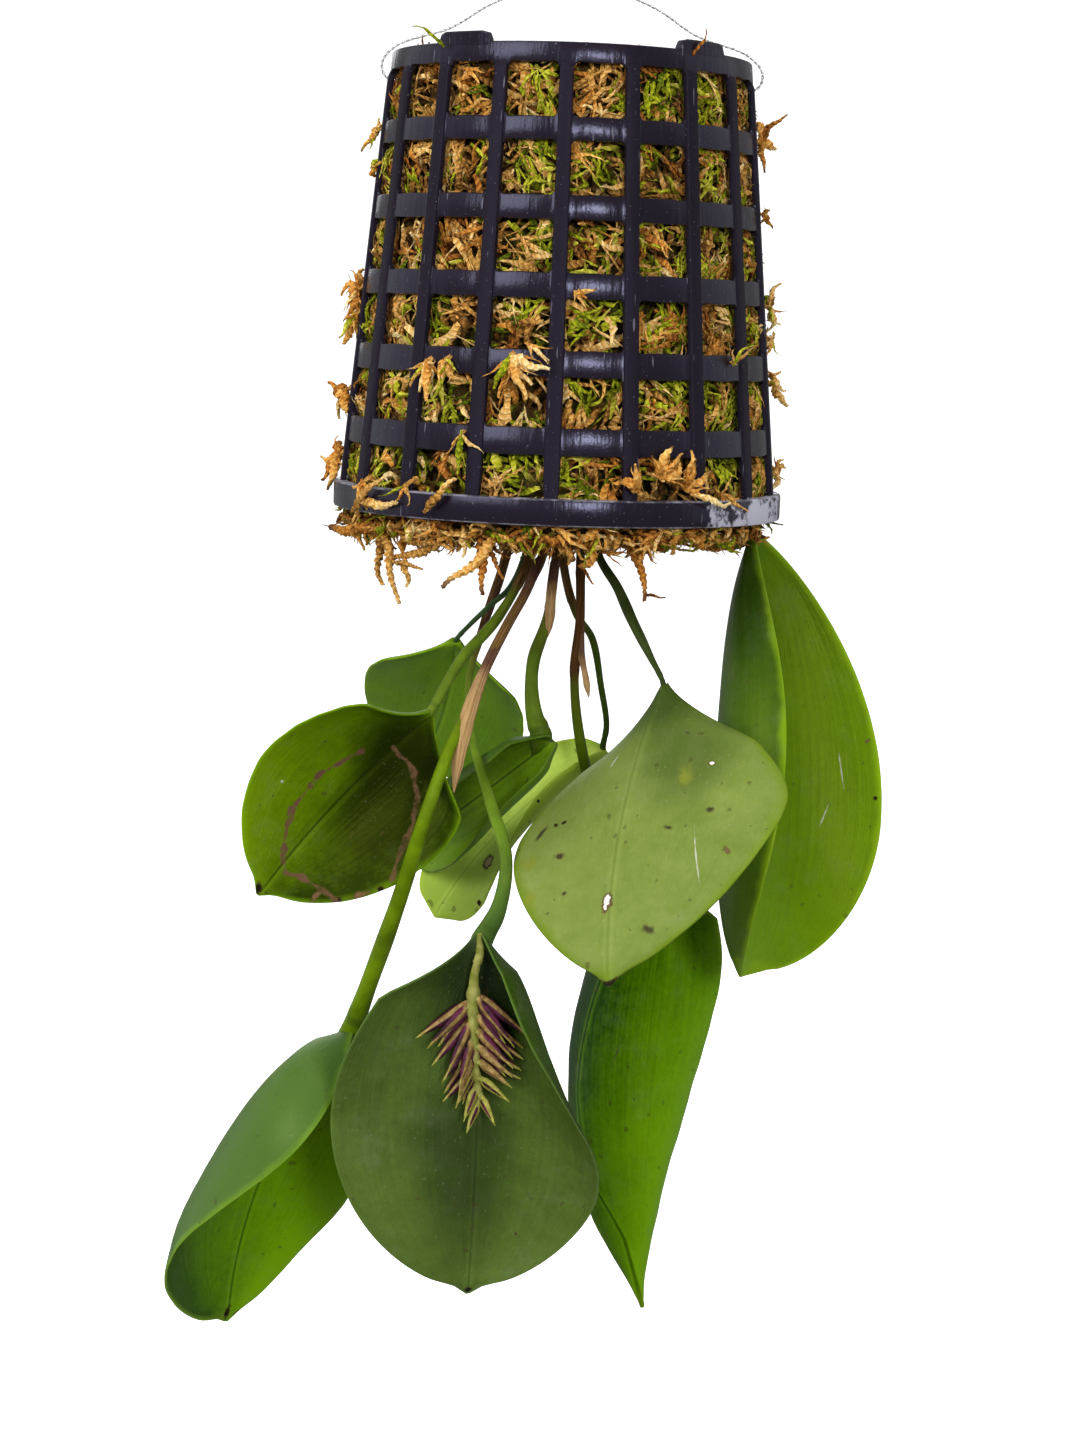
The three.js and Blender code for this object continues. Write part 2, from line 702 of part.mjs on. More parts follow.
function hanger(extra = 0) {
  const wire = (points, steps) =>
    rodSolid(curveThrough(points), () => [wireRadius + extra, wireRadius + extra], 5, steps);
  const ring = new THREE.TorusGeometry(eyeInnerRadius + wireRadius, wireRadius + extra, 5, 20);
  ring.rotateX(Math.PI / 2).translate(0, 0, -eyeInnerRadius);
  const solids = [solidOf(ring)];
  const ringFoot = -2 * eyeInnerRadius - wireRadius;
  for (const angle of hookAngles) {
    const outside = closedEndRadius + wireRadius + 0.75;
    const side = Math.sign(angle);
    const edge = onWall(angle, outside, plateZ + wireRadius + 0.8);
    const below = plateZ - topBandHeight - wireRadius - 0.6;
    const points = [
      [side * 0.9, 0, ringFoot + 0.1],
      [edge.x * 0.25, edge.y * 0.25, mix(ringFoot, edge.z, 0.11)],
      [edge.x * 0.45, edge.y * 0.45, mix(ringFoot, edge.z, 0.33)],
      [edge.x * 0.66, edge.y * 0.66, mix(ringFoot, edge.z, 0.69)],
      [edge.x * 0.94, edge.y * 0.94, edge.z + 0.5],
      onWall(angle, outside + 0.7, plateZ - 1.2).toArray(),
      onWall(angle, outside + 0.6, mix(plateZ, below, 0.72)).toArray(),
      onWall(angle, outside - 1, below).toArray(),
      onWall(angle, closedEndRadius - 1.7 - extra, below + 0.1).toArray(),
    ];
    solids.push(wire(points, 15));
  }
  return unite(solids);
}

// Moss: the filling of the pot with cushions in the openings, loose strands and a beard

const mossDepth = 3.2; // behind the outside of the wall, where a rib or a ring passes
const mossBulge = [-0.8, 0.5]; // beyond the wall, in the middle of an opening

function openingRows() {
  const bands = [[mouthZ, mouthZ + rimHeight]];
  for (let i = 0; i < ringCount; i++)
    bands.push(ringBand(mouthZ + firstRingCentre + i * ringPitch));
  bands.push([plateZ - topBandHeight, plateZ]);
  return bands.slice(1).map((band, i) => [bands[i][1] + gap, band[0] - gap]);
}

const openingAngles = Array.from(
  { length: ribCount },
  (_, k) => ribPhase + (360 / ribCount) * (k + 0.5),
);

// A closed body with a pointed cushion in each opening and hollows behind the ribs and rings
function mossFilling() {
  const random = randomFrom(11);
  const middles = openingRows().map(([low, high]) => mix(low, high, 0.5));
  const heights = [
    [mouthZ - 1.5, -1],
    [mouthZ + rimHeight / 2, 0],
  ];
  middles.forEach((z, i) => {
    heights.push([z, 1]);
    heights.push([i + 1 < middles.length ? mix(z, middles[i + 1], 0.5) : plateZ - topBandHeight / 2, 0]);
  });
  const topZ = plateZ - plateThickness - gap;
  heights[heights.length - 1] = [topZ, 0];
  const count = 2 * ribCount;
  const points = heights.flatMap(([z, kind]) =>
    Array.from({ length: count }, (_, c) => {
      const cushion = kind === 1 && c % 2 === 1;
      const angle = ribPhase + (180 / ribCount) * c + (cushion ? mix(-1.5, 1.5, random()) : 0);
      const out = cushion ? mix(...mossBulge, random()) : -mossDepth - 0.3 * random();
      const lift = cushion ? mix(-1, 1, random()) : 0;
      return onWall(angle, wallRadius(z) + out + Math.min(kind, 0), z + lift);
    }),
  );
  const under = points.push(new THREE.Vector3(0, 0, mouthZ - 4)) - 1;
  const over = points.push(new THREE.Vector3(0, 0, topZ)) - 1;
  const faces = [];
  const at = (r, c) => r * count + (c % count);
  for (let r = 0; r < heights.length - 1; r++)
    for (let c = 0; c < count; c++) {
      // The diagonals meet at the cushions
      const [a, b, d, e] = [at(r, c), at(r, c + 1), at(r + 1, c + 1), at(r + 1, c)];
      if ((r + c) % 2 === 0) faces.push(a, b, d, a, d, e);
      else faces.push(a, b, e, b, d, e);
    }
  const topRow = heights.length - 1;
  for (let c = 0; c < count; c++) {
    faces.push(under, at(0, c + 1), at(0, c));
    faces.push(over, at(topRow, c), at(topRow, c + 1));
  }
  const geometry = new THREE.BufferGeometry().setFromPoints(points);
  geometry.setIndex(faces);
  return solidOf(geometry);
}

const strandSize = (t) => {
  const r = mix(1.5, 0.5, t) * (1 + 0.2 * Math.sin(9 * t));
  return [r, r * 0.8];
};

// Strands that push out of the openings and droop
function wallStrands() {
  const random = randomFrom(23);
  const rows = openingRows();
  const solids = [];
  const strandCount = 18;
  for (let i = 0; i < strandCount; i++) {
    const row = Math.floor(rows.length * Math.pow(random(), 1.2));
    const [low, high] = rows[row];
    const angle = openingAngles[Math.floor(random() * ribCount)] + mix(-2.5, 2.5, random());
    const z = mix(low, high, mix(0.4, 0.6, random()));
    const wall = wallRadius(z);
    const reach = mix(2.2, 4.6, random());
    const droop = row === 0 ? 1.5 : mix(1, 4, random());
    const turn = mix(-5, 5, random());
    solids.push(
      rodSolid(
        curveThrough([
          onWall(angle, wall - 4, z).toArray(),
          onWall(angle, wall + 0.4, z + 0.3).toArray(),
          onWall(angle + turn * 0.5, wall + reach, z - 0.3 * droop).toArray(),
          onWall(angle + turn, wall + reach + 1.2, z - 1.3 * droop).toArray(),
        ]),
        strandSize,
        3,
        3,
      ),
    );
  }
  return solids;
}

// Strands that hang from the mouth; the photo shows them longest at the left and right
function beardStrands() {
  const random = randomFrom(41);
  const solids = [];
  const strandCount = 26;
  for (let i = 0; i < strandCount; i++) {
    const angle = (360 * (i + 0.6 * random())) / strandCount;
    const radius = i % 3 === 0 ? mix(22, 34, random()) : mix(35, 39.5, random());
    const length = mix(5, 13, random());
    const spread = radius > 34 ? mix(0, 5.5, random()) : mix(-3, 3, random());
    const turn = mix(-9, 9, random());
    const start = mouthZ + 2;
    solids.push(
      rodSolid(
        curveThrough([
          onWall(angle, radius, start).toArray(),
          onWall(angle + turn * 0.2, radius + 0.4, mouthZ - 1.4).toArray(),
          onWall(angle + turn * 0.7, radius + spread * 0.7, mouthZ - 1.4 - length * 0.5).toArray(),
          onWall(angle + turn, radius + spread, mouthZ - 1.4 - length).toArray(),
        ]),
        strandSize,
        3,
        3,
      ),
    );
  }
  return solids;
}

function mossSolid() {
  let moss = unite([mossFilling(), ...wallStrands(), ...beardStrands()]);
  for (const name of Object.keys(stems)) moss = moss.subtract(stemRoom(name));
  moss = moss.subtract(hanger(gap));
  moss = moss.subtract(solidOf(leafGeometry(leaves.right, 8, 6, 4 * gap)));
  return largest(moss);
}

// Assembly

const pot = netPot();
addMesh("net_pot", pot, blackPlastic);
addMesh("hanger", hanger(), zincWire);
addMesh("moss", mossSolid(), mossBrown);
for (const [name, stem] of Object.entries(stems)) {
  const steps = 2 * stem.path.length;
  addMesh("stem_" + name, rodSolid(stemCurve(stem), stemSize(stem), stemSides, steps), stemGreen);
}
for (const name of Object.keys(bracts)) addMesh("bract_" + name, bractSolid(name), dryBract);
for (const [name, leaf] of Object.entries(leaves)) {
  const blade = solidOf(leafGeometry(leaf));
  addMesh("leaf_" + name, largest(blade.subtract(stemRoom(name))), leafGreen);
}
addMesh("flower_spike", flowerSpike(leaves.flower), flowerMaroon);

export default group;
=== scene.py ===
from math import acos, atan2, cos, degrees, exp, hypot, pi, radians, sin, sqrt, tan

import bpy
import numpy as np
from mathutils import Matrix, Vector


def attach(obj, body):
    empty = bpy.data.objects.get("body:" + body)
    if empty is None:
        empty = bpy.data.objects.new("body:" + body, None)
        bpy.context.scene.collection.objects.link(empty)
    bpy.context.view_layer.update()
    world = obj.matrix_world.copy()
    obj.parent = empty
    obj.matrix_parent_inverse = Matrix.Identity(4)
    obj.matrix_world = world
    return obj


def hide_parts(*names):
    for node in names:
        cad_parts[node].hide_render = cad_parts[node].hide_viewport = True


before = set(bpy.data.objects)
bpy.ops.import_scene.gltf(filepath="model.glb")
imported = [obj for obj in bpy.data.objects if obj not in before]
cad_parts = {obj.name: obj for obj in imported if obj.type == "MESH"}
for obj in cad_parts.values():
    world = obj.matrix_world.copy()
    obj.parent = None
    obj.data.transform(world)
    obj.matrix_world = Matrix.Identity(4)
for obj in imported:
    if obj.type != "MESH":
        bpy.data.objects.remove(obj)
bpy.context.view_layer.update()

mm = 0.001
front = np.array([0.0, -1.0, 0.0])


# Small helpers for places and shapes


def unit(v):
    return v / max(np.linalg.norm(v), 1e-12)


def turnAbout(v, axis, degrees):
    a = radians(degrees)
    return v * cos(a) + np.cross(axis, v) * sin(a) + axis * np.dot(axis, v) * (1 - cos(a))


def smooth(t):
    t = min(1, max(0, t))
    return t * t * (3 - 2 * t)


def mix(a, b, t):
    return a + (b - a) * t


def onWall(angle, radius, z):
    # angle in degrees from the front, positive to the right
    a = radians(angle)
    return np.array([radius * sin(a), -radius * cos(a), z])


def smoothPath(points, count):
    # a centripetal curve through the points, cut into even steps
    p = np.array(points, float)
    p = np.vstack([2 * p[0] - p[1], p, 2 * p[-1] - p[-2]])
    t = np.linspace(0, 1, 24, endpoint=False)[:, None]
    fine = []
    for a, b, c, d in zip(p, p[1:], p[2:], p[3:]):
        ab, bc, cd = (max(np.linalg.norm(y - x), 1e-9) ** 0.5 for x, y in ((a, b), (b, c), (c, d)))
        m1 = ((b - a) / ab - (c - a) / (ab + bc) + (c - b) / bc) * bc
        m2 = ((c - b) / bc - (d - b) / (bc + cd) + (d - c) / cd) * bc
        fine.append(b + m1 * t + (3 * (c - b) - 2 * m1 - m2) * t**2 + (2 * (b - c) + m1 + m2) * t**3)
    fine = np.vstack([*fine, p[-2]])
    along = np.concatenate([[0], np.cumsum(np.linalg.norm(np.diff(fine, axis=0), axis=1))])
    want = np.linspace(0, along[-1], count)
    return np.stack([np.interp(want, along, fine[:, k]) for k in range(3)], axis=1)


def framesOn(path):
    # tangent, side and front at each point; side starts near +X and turns as little as it can
    tangents = np.gradient(path, axis=0)
    side = np.array([1.0, 0.0, 0.0])
    made = []
    for t in tangents:
        t = unit(t)
        side = unit(side - t * np.dot(side, t))
        made.append((t, side, np.cross(t, side)))
    return made


def tubeFaces(rings, sides):
    # the sides of a tube and its two ends
    faces = []
    for i in range(rings - 1):
        for k in range(sides):
            a, b = i * sides + k, i * sides + (k + 1) % sides
            faces.append((a, b, b + sides, a + sides))
    return [*faces, tuple(reversed(range(sides))), tuple(range((rings - 1) * sides, rings * sides))]


def tubeMesh(path, size, sides, ripple=None):
    # a closed tube; size(t) gives half width and half depth, ripple(t, angle) a share added to the radius
    frames = framesOn(path)
    points, uv = [], []
    for i, (centre, (_, side, ahead)) in enumerate(zip(path, frames)):
        t = i / (len(path) - 1)
        wide, deep = size(t)
        for k in range(sides):
            a = 2 * pi * k / sides
            more = 1 + (ripple(t, a) if ripple else 0)
            points.append(centre + side * wide * more * cos(a) + ahead * deep * more * sin(a))
            uv.append((k / sides, t))
    return points, tubeFaces(len(path), sides), uv


def joined(parts):
    points, faces, uv = [], [], []
    for p, f, u in parts:
        start = len(points)
        points += list(p)
        faces += [tuple(start + i for i in face) for face in f]
        uv += list(u)
    return points, faces, uv


def newPiece(name, points, faces, uv=None):
    # points in millimetres become a mesh object at the origin, in metres
    mesh = bpy.data.meshes.new(name)
    mesh.from_pydata((np.array(points) * mm).tolist(), [], faces)
    mesh.update()
    piece = bpy.data.objects.new(name, mesh)
    bpy.context.scene.collection.objects.link(piece)
    if uv is not None:
        giveUv(mesh, "lengthways", uv)
    return piece


def giveUv(mesh, name, perPoint):
    layer = mesh.uv_layers.new(name=name)
    corners = np.empty(len(mesh.loops), dtype=np.int64)
    mesh.loops.foreach_get("vertex_index", corners)
    layer.data.foreach_set("uv", np.array(perPoint, dtype=np.float32)[corners].ravel())


def giveColour(mesh, name, perPoint):
    layer = mesh.color_attributes.new(name=name, type="FLOAT_COLOR", domain="POINT")
    values = np.ones((len(perPoint), 4), dtype=np.float32)
    values[:, :3] = np.array(perPoint, dtype=np.float32)
    layer.data.foreach_set("color", values.ravel())


def only(piece):
    bpy.ops.object.select_all(action="DESELECT")
    piece.select_set(True)
    bpy.context.view_layer.objects.active = piece


def primitive(add, name, **sizes):
    bpy.ops.object.select_all(action="DESELECT")
    add(**sizes)
    piece = bpy.context.object
    piece.name = name
    return piece


def smoothShade(piece, degrees=None):
    only(piece)
    if degrees is None:
        bpy.ops.object.shade_smooth()
    else:
        bpy.ops.object.shade_smooth_by_angle(angle=radians(degrees))


def applyModifiers(piece):
    only(piece)
    for modifier in list(piece.modifiers):
        bpy.ops.object.modifier_apply(modifier=modifier.name)


def settle(piece, node, finish=None):
    # the piece stands for its CAD node and moves with the one body
    if finish:
        piece.data.materials.append(finish)
    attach(piece, "root")
    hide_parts(node)


# Finishes


class Finish:
    def __init__(self, name, roughness, specular, tint=(1, 1, 1)):
        self.material = bpy.data.materials.new(name)
        self.material.use_nodes = True
        self.nodes = self.material.node_tree.nodes
        self.links = self.material.node_tree.links
        self.surface = self.nodes["Principled BSDF"]
        self.surface.inputs["Roughness"].default_value = roughness
        self.surface.inputs["Specular IOR Level"].default_value = specular
        self.surface.inputs["Specular Tint"].default_value = (*tint, 1)
        self.coordinates = self.nodes.new("ShaderNodeTexCoord").outputs["Object"]

    def add(self, kind, inputs, output=0, **settings):
        made = self.nodes.new("ShaderNode" + kind)
        for key, value in settings.items():
            setattr(made, key, value)
        for key, value in inputs.items():
            if isinstance(value, bpy.types.NodeSocket):
                self.links.new(value, made.inputs[key])
            else:
                made.inputs[key].default_value = value
        return made.outputs[output]

    def math(self, operation, a, b=0, clamp=False):
        return self.add("Math", {0: a, 1: b}, operation=operation, use_clamp=clamp)

    def plus(self, a, b, clamp=False):
        return self.math("ADD", a, b, clamp)

    def minus(self, a, b, clamp=False):
        return self.math("SUBTRACT", a, b, clamp)

    def times(self, a, b):
        return self.math("MULTIPLY", a, b)

    def most(self, a, b, clamp=False):
        return self.math("MAXIMUM", a, b, clamp)

    def wobble(self, value, pattern, strength):
        # the value goes up and down with a pattern that runs from 0 to 1
        return self.plus(value, self.times(self.minus(pattern, 0.5), strength))

    def colour(self, share, a, b):
        return self.add("Mix", {0: share, 6: solid(a), 7: solid(b)}, output=2, data_type="RGBA")

    def over(self, under, share, strength, colour):
        return self.colour(self.times(share, strength), under, colour)

    def ramp(self, share, *stops):
        # stops of (place, colour)
        made = self.nodes.new("ShaderNodeValToRGB")
        self.links.new(share, made.inputs[0])
        while len(made.color_ramp.elements) < len(stops):
            made.color_ramp.elements.new(0.5)
        for element, (place, colour) in zip(made.color_ramp.elements, stops):
            element.position, element.color = place, (*colour, 1)
        return made.outputs[0]

    def band(self, value, low, high, to=(0, 1)):
        inputs = {0: value, 1: low, 2: high, 3: to[0], 4: to[1]}
        return self.add("MapRange", inputs, interpolation_type="SMOOTHSTEP")

    def scaled(self, vector, x, y, z):
        return self.add("Mapping", {"Vector": vector, "Scale": (x, y, z)})

    def noise(self, vector, scale, detail=2, rough=0.5):
        return self.add("TexNoise", {"Vector": vector, "Scale": scale, "Detail": detail, "Roughness": rough})

    def away(self, flat, x, y, wide, tall, turned=0):
        # how far from a spot on the blade, in shares of an oval's half sizes
        moved = self.add("VectorMath", {0: flat, 1: (x, y, 0)}, operation="SUBTRACT")
        if turned:
            moved = self.turned(moved, radians(turned))
        sized = self.add("VectorMath", {0: moved, 1: (1 / wide, 1 / tall, 0)}, operation="MULTIPLY")
        return self.add("VectorMath", {0: sized}, output="Value", operation="LENGTH")

    def turned(self, vector, angle):
        return self.add("VectorRotate", {"Vector": vector, "Angle": angle}, rotation_type="Z_AXIS")

    def split(self, vector):
        return self.add("SeparateXYZ", {0: vector}, output=slice(0, 3))

    def uv(self, name):
        place = self.add("UVMap", {}, uv_map=name)
        return (place, *self.split(place)[:2])

    def tint(self, name):
        colour = self.add("VertexColor", {}, layer_name=name)
        return self.add("SeparateColor", {0: colour}, output=slice(0, 3))

    def paint(self, colour):
        self.put("Base Color", solid(colour))

    def put(self, name, value):
        if isinstance(value, bpy.types.NodeSocket):
            self.links.new(value, self.surface.inputs[name])
        else:
            self.surface.inputs[name].default_value = value

    def bump(self, *layers):
        # layers of (height, depth in metres)
        normal = None
        for height, depth in layers:
            inputs = {"Strength": 1, "Distance": depth, "Height": height}
            if normal is not None:
                inputs["Normal"] = normal
            normal = self.add("Bump", inputs)
        self.put("Normal", normal)


def solid(colour):
    if isinstance(colour, bpy.types.NodeSocket):
        return colour
    return (*colour, 1)


# Camera where the photographer stood, in front and a little above the flowers

view = {"distance": 548, "height": -75.5, "down": 8.35, "roll": 2, "turn": -0.19, "lens": 67.68}


def placeCamera():
    down, turn, roll = (radians(view[k]) for k in ("down", "turn", "roll"))
    ahead = Vector((sin(turn) * cos(down), cos(turn) * cos(down), -sin(down)))
    right = Vector((cos(turn), -sin(turn), 0))
    up = right.cross(ahead)
    across = right * cos(roll) + up * sin(roll)
    upright = up * cos(roll) - right * sin(roll)
    data = bpy.data.cameras.new("camera")
    data.lens, data.sensor_width = view["lens"], 36
    camera = bpy.data.objects.new("camera", data)
    bpy.context.scene.collection.objects.link(camera)
    turned = Matrix((across, upright, -ahead)).transposed().to_4x4()
    camera.matrix_world = Matrix.Translation((0, -view["distance"] * mm, view["height"] * mm)) @ turned
    data.clip_start, data.clip_end = 0.05, 20
    bpy.context.scene.camera = camera


placeCamera()

# Studio: white sheet on the floor and up behind, soft lights all round

studio = {
    "floor": -0.335,
    "sheetWidth": 8,
    "sheetBack": 2.2,
    "sheetGlow": 0.75,
    "sky": 0.3,
    "lamps": {
        # place, size, power and colour
        "key": ((-0.75, -0.95, 0.45), 0.7, 12, (1, 0.99, 0.96)),
        "window": ((0.33, -1.15, 0.15), 0.24, 6, (1, 0.99, 1)),
        "left": ((-1.25, 0.25, 0.1), 1.4, 4, (0.9, 0.94, 1)),
        "right": ((1.25, 0.15, 0.2), 1.4, 3.5, (0.92, 0.95, 1)),
        "above": ((0, -0.1, 1.25), 0.9, 8, (1, 0.99, 0.97)),
        "behind": ((-0.2, 1.3, 0.4), 0.9, 5, (0.95, 0.97, 1)),
    },
}


def makeStudio():
    scene = bpy.context.scene
    scene.view_settings.view_transform = "Standard"
    world = bpy.data.worlds.new("studio")
    world.use_nodes = True
    world.node_tree.nodes["Background"].inputs[0].default_value = (1, 1, 1, 1)
    world.node_tree.nodes["Background"].inputs[1].default_value = studio["sky"]
    scene.world = world
    for name, (place, size, power, tone) in studio["lamps"].items():
        data = bpy.data.lights.new(name, "AREA")
        data.size, data.energy, data.color = size, power, tone
        lamp = bpy.data.objects.new(name, data)
        scene.collection.objects.link(lamp)
        lamp.location = place
        lamp.rotation_mode = "QUATERNION"
        lamp.rotation_quaternion = (Vector((0, 0, -0.15)) - Vector(place)).to_track_quat("-Z", "Y")
    # floor, a wide curve, then the wall behind
    back, wide, low = studio["sheetBack"], studio["sheetWidth"] / 2, studio["floor"]
    profile = [(-2.5, low), (back - 0.6, low)]
    for k in range(1, 12):
        a = radians(90 * k / 12)
        profile.append((back - 0.6 + 0.6 * sin(a), low + 0.6 - 0.6 * cos(a)))
    profile += [(back, low + 0.6), (back, low + 4)]
    points = [(x / mm, y / mm, z / mm) for y, z in profile for x in (-wide, wide)]
    faces = [(2 * i, 2 * i + 1, 2 * i + 3, 2 * i + 2) for i in range(len(profile) - 1)]
    sheet = newPiece("whiteSheet", points, faces)
    smoothShade(sheet)
    white = Finish("white paper", 0.9, 0.2)
    grain = white.noise(white.coordinates, 3)
    white.paint(white.colour(grain, (0.9, 0.9, 0.92), (0.93, 0.93, 0.94)))
    white.put("Emission Color", (1, 1, 1, 1))
    white.put("Emission Strength", studio["sheetGlow"])
    sheet.data.materials.append(white.material)
    # the lamps alone shape the plant
    sheet.visible_diffuse = False
    sheet.visible_glossy = False


makeStudio()
print("camera and studio ready")

# Net pot, upside down: eighteen ribs, five rings, top band, rim at the mouth

pot = {
    "top": -24,
    "mouth": -113,
    "topRadius": 35.5,
    "mouthRadius": 43.9,
    "rimRadius": 45,
    "rimHeight": 5.1,
    "bandHeight": 3.8,
    "ribs": 18,
    "firstRib": -1.5,
    "ribWidth": (3.3, 2.7),
    "ribProud": 0.5,
    "ribDepth": 1.2,
    "ringThickness": 1.2,
    "ringCentres": [15.6 + 14.4 * k for k in range(5)],
    "ringWidth": (5.5, 4.3),
    "plate": 1.4,
    "fillet": 0.9,
    "feet": [-35.5, 44.5, 144.5, 224.5],
    "footHeight": 1.9,
}
potTop, potMouth = pot["top"], pot["mouth"]
potHeight = potTop - potMouth


def wallRadius(z):
    return pot["mouthRadius"] + (pot["topRadius"] - pot["mouthRadius"]) * (z - potMouth) / potHeight


def ringBands():
    bands = [(potMouth, potMouth + pot["rimHeight"])]
    for height in pot["ringCentres"]:
        half = mix(*pot["ringWidth"], height / potHeight) / 2
        bands.append((potMouth + height - half, potMouth + height + half))
    bands.append((potTop - pot["bandHeight"], potTop))
    return bands


# places round one rib pitch, closer together beside the rib
roundRib = [0, 0.1, 0.118, 0.137, 0.165, 0.21, 0.3, 0.5]
roundRib += [1 - s for s in reversed(roundRib[1:-1])]


def potRing(name, low, high, inner, outer, fillet=True, corner=0.28):
    # a torus whose tube is moved to a rounded four-sided section
    steps, sides = pot["ribs"] * len(roundRib), 12
    sizes = {"major_segments": steps, "minor_segments": sides, "major_radius": 0.04, "minor_radius": 0.002}
    ring = primitive(bpy.ops.mesh.primitive_torus_add, name, **sizes)
    spots = []
    for cx, cz, start in ((1, 1, 0), (-1, 1, 90), (-1, -1, 180), (1, -1, 270)):
        for turn in (0, 45, 90):
            a = radians(start + turn)
            spots.append((cx, cz, cos(a), sin(a)))
    pitch = 360 / pot["ribs"]
    for i, vertex in enumerate(ring.data.vertices):
        step, side = divmod(i, sides)
        rib, share = divmod(step, len(roundRib))
        share = roundRib[share]
        cx, cz, ox, oz = spots[side]
        reach = min(share, 1 - share) * radians(pitch) * outer((low + high) / 2)
        past = reach - 1.5
        more = 0
        if fillet:
            size = pot["fillet"]
            more = size if past < 0 else 0
            if 0 <= past < size:
                more = size - sqrt(size * size - (size - past) ** 2)
            more += 0.22 * sin(pi * min(share, 1 - share)) ** 2 - 0.22
        above = 0 if fillet == "below" else more
        z = (high + above - corner + corner * oz) if cz > 0 else (low - more + corner + corner * oz)
        edge = outer(z) if cx > 0 else inner(z)
        radius = edge - cx * corner + corner * ox
        vertex.co = Vector(onWall(pot["firstRib"] + pitch * (rib + share), radius, z) * mm)
    return ring


def roundedBar(name, rounding, segments, cuts=()):
    bar = primitive(bpy.ops.mesh.primitive_cube_add, name, size=2)
    bpy.ops.object.mode_set(mode="EDIT")
    bpy.ops.mesh.select_all(action="SELECT")
    bpy.ops.mesh.bevel(offset=rounding, segments=segments, affect="EDGES")
    for place in cuts:
        bpy.ops.mesh.select_all(action="SELECT")
        bpy.ops.mesh.bisect(plane_co=(0, 0, 2 * place - 1), plane_no=(0, 0, 1))
    bpy.ops.object.mode_set(mode="OBJECT")
    return bar


def potRib(index):
    # stands a little proud of the rings
    rib = roundedBar(f"rib{index}", 0.22, 3, (0.93, 0.95, 0.965))
    low, high = potMouth + pot["rimHeight"] - 0.6, potTop - 0.7
    angle = pot["firstRib"] + 360 / pot["ribs"] * index
    for vertex in rib.data.vertices:
        x, y, z = vertex.co
        up = (z + 1) / 2
        height = mix(low, high, up)
        half = mix(*pot["ribWidth"], (height - potMouth) / potHeight) / 2
        sunk = smooth((height - potTop + pot["bandHeight"] + 1) / 2.2)
        outer = wallRadius(height) + pot["ribProud"] - (pot["ribProud"] + 0.25) * sunk
        radius = outer - pot["ribDepth"] * (1 - y) / 2 - 0.12 * x * x
        sideways = degrees(half * x * mix(0.93, 1, (1 - y) / 2) / radius)
        vertex.co = Vector(onWall(angle + sideways, radius, height) * mm)
    rib.data.flip_normals()
    return rib


def potFoot(index, angle):
    # a low tab on the closed end with sloping ends
    steps, half = 14, 10
    outer, inner = pot["topRadius"] + 0.1, pot["topRadius"] - 2.2
    rounding = 0.35
    points = []
    for k in range(steps + 1):
        share = k / steps
        edge = min(share, 1 - share) * 2 * half * radians(1) * outer
        height = potTop - 0.7 + (pot["footHeight"] + 0.7) * smooth(0.25 + edge / 1.6)
        a = angle - half + 2 * half * share
        section = [(inner, potTop - 0.7), (inner, height - rounding), (inner + rounding, height)]
        section += [(outer - rounding, height), (outer, height - rounding), (outer, potTop - 0.7)]
        points += [onWall(a, r, z) for r, z in section]
    faces = []
    for k in range(steps):
        for s in range(6):
            a, b = k * 6 + s, k * 6 + (s + 1) % 6
            faces.append((a, a + 6, b + 6, b))
    faces += [tuple(range(6)), tuple(reversed(range(steps * 6, steps * 6 + 6)))]
    return newPiece(f"foot{index}", points, faces)


def makePot():
    parts = []
    rimInner = pot["mouthRadius"] - 1.7
    bands = ringBands()
    parts.append(potRing("rim", *bands[0], lambda z: rimInner, lambda z: pot["rimRadius"], False, 0.45))
    for k, (low, high) in enumerate(bands[1:-1]):
        parts.append(potRing(f"ring{k}", low, high, lambda z: wallRadius(z) - pot["ringThickness"], wallRadius))
    low, high = bands[-1]
    parts.append(potRing("topBand", low, high, lambda z: wallRadius(z) - pot["ringThickness"], wallRadius, "below"))
    parts += [potRib(k) for k in range(pot["ribs"])]
    # closed end: outer ring, middle ring, hub and six spokes
    plate = (potTop - pot["plate"], potTop)
    for name, inner, outer in (("plateRing", 30.5, 35.2), ("middleRing", 17.5, 20.5), ("hub", 0.7, 8)):
        parts.append(potRing(name, *plate, lambda z, r=inner: r, lambda z, r=outer: r, False, 0.25))
    for k in range(6):
        spoke = roundedBar(f"spoke{k}", 0.2, 2)
        a = pot["firstRib"] + 60 * k
        for vertex in spoke.data.vertices:
            x, y, z = vertex.co
            radius = mix(6.5, 32, (y + 1) / 2)
            side = onWall(a + 90, 1.3 * x, 0)
            vertex.co = Vector((onWall(a, radius, potTop - 0.7 + 0.6 * z) + side) * mm)
        spoke.data.flip_normals()
        parts.append(spoke)
    parts += [potFoot(k, a) for k, a in enumerate(pot["feet"])]
    glossy = blackPlastic("blue-black moulded plastic", False)
    satin = blackPlastic("duller plastic of the ribs", True)
    bpy.ops.object.select_all(action="DESELECT")
    for part in parts:
        part.data.materials.clear()
        part.data.materials.append(satin if part.name.startswith("rib") else glossy)
        part.select_set(True)
    bpy.context.view_layer.objects.active = parts[0]
    bpy.ops.object.transform_apply(location=True, rotation=True, scale=True)
    bpy.ops.object.join()
    whole = bpy.context.object
    whole.name = "netPot"
    only(whole)
    bpy.ops.object.mode_set(mode="EDIT")
    bpy.ops.mesh.select_all(action="SELECT")
    bpy.ops.mesh.normals_make_consistent(inside=False)
    bpy.ops.object.mode_set(mode="OBJECT")
    smoothShade(whole, 38)
    return whole


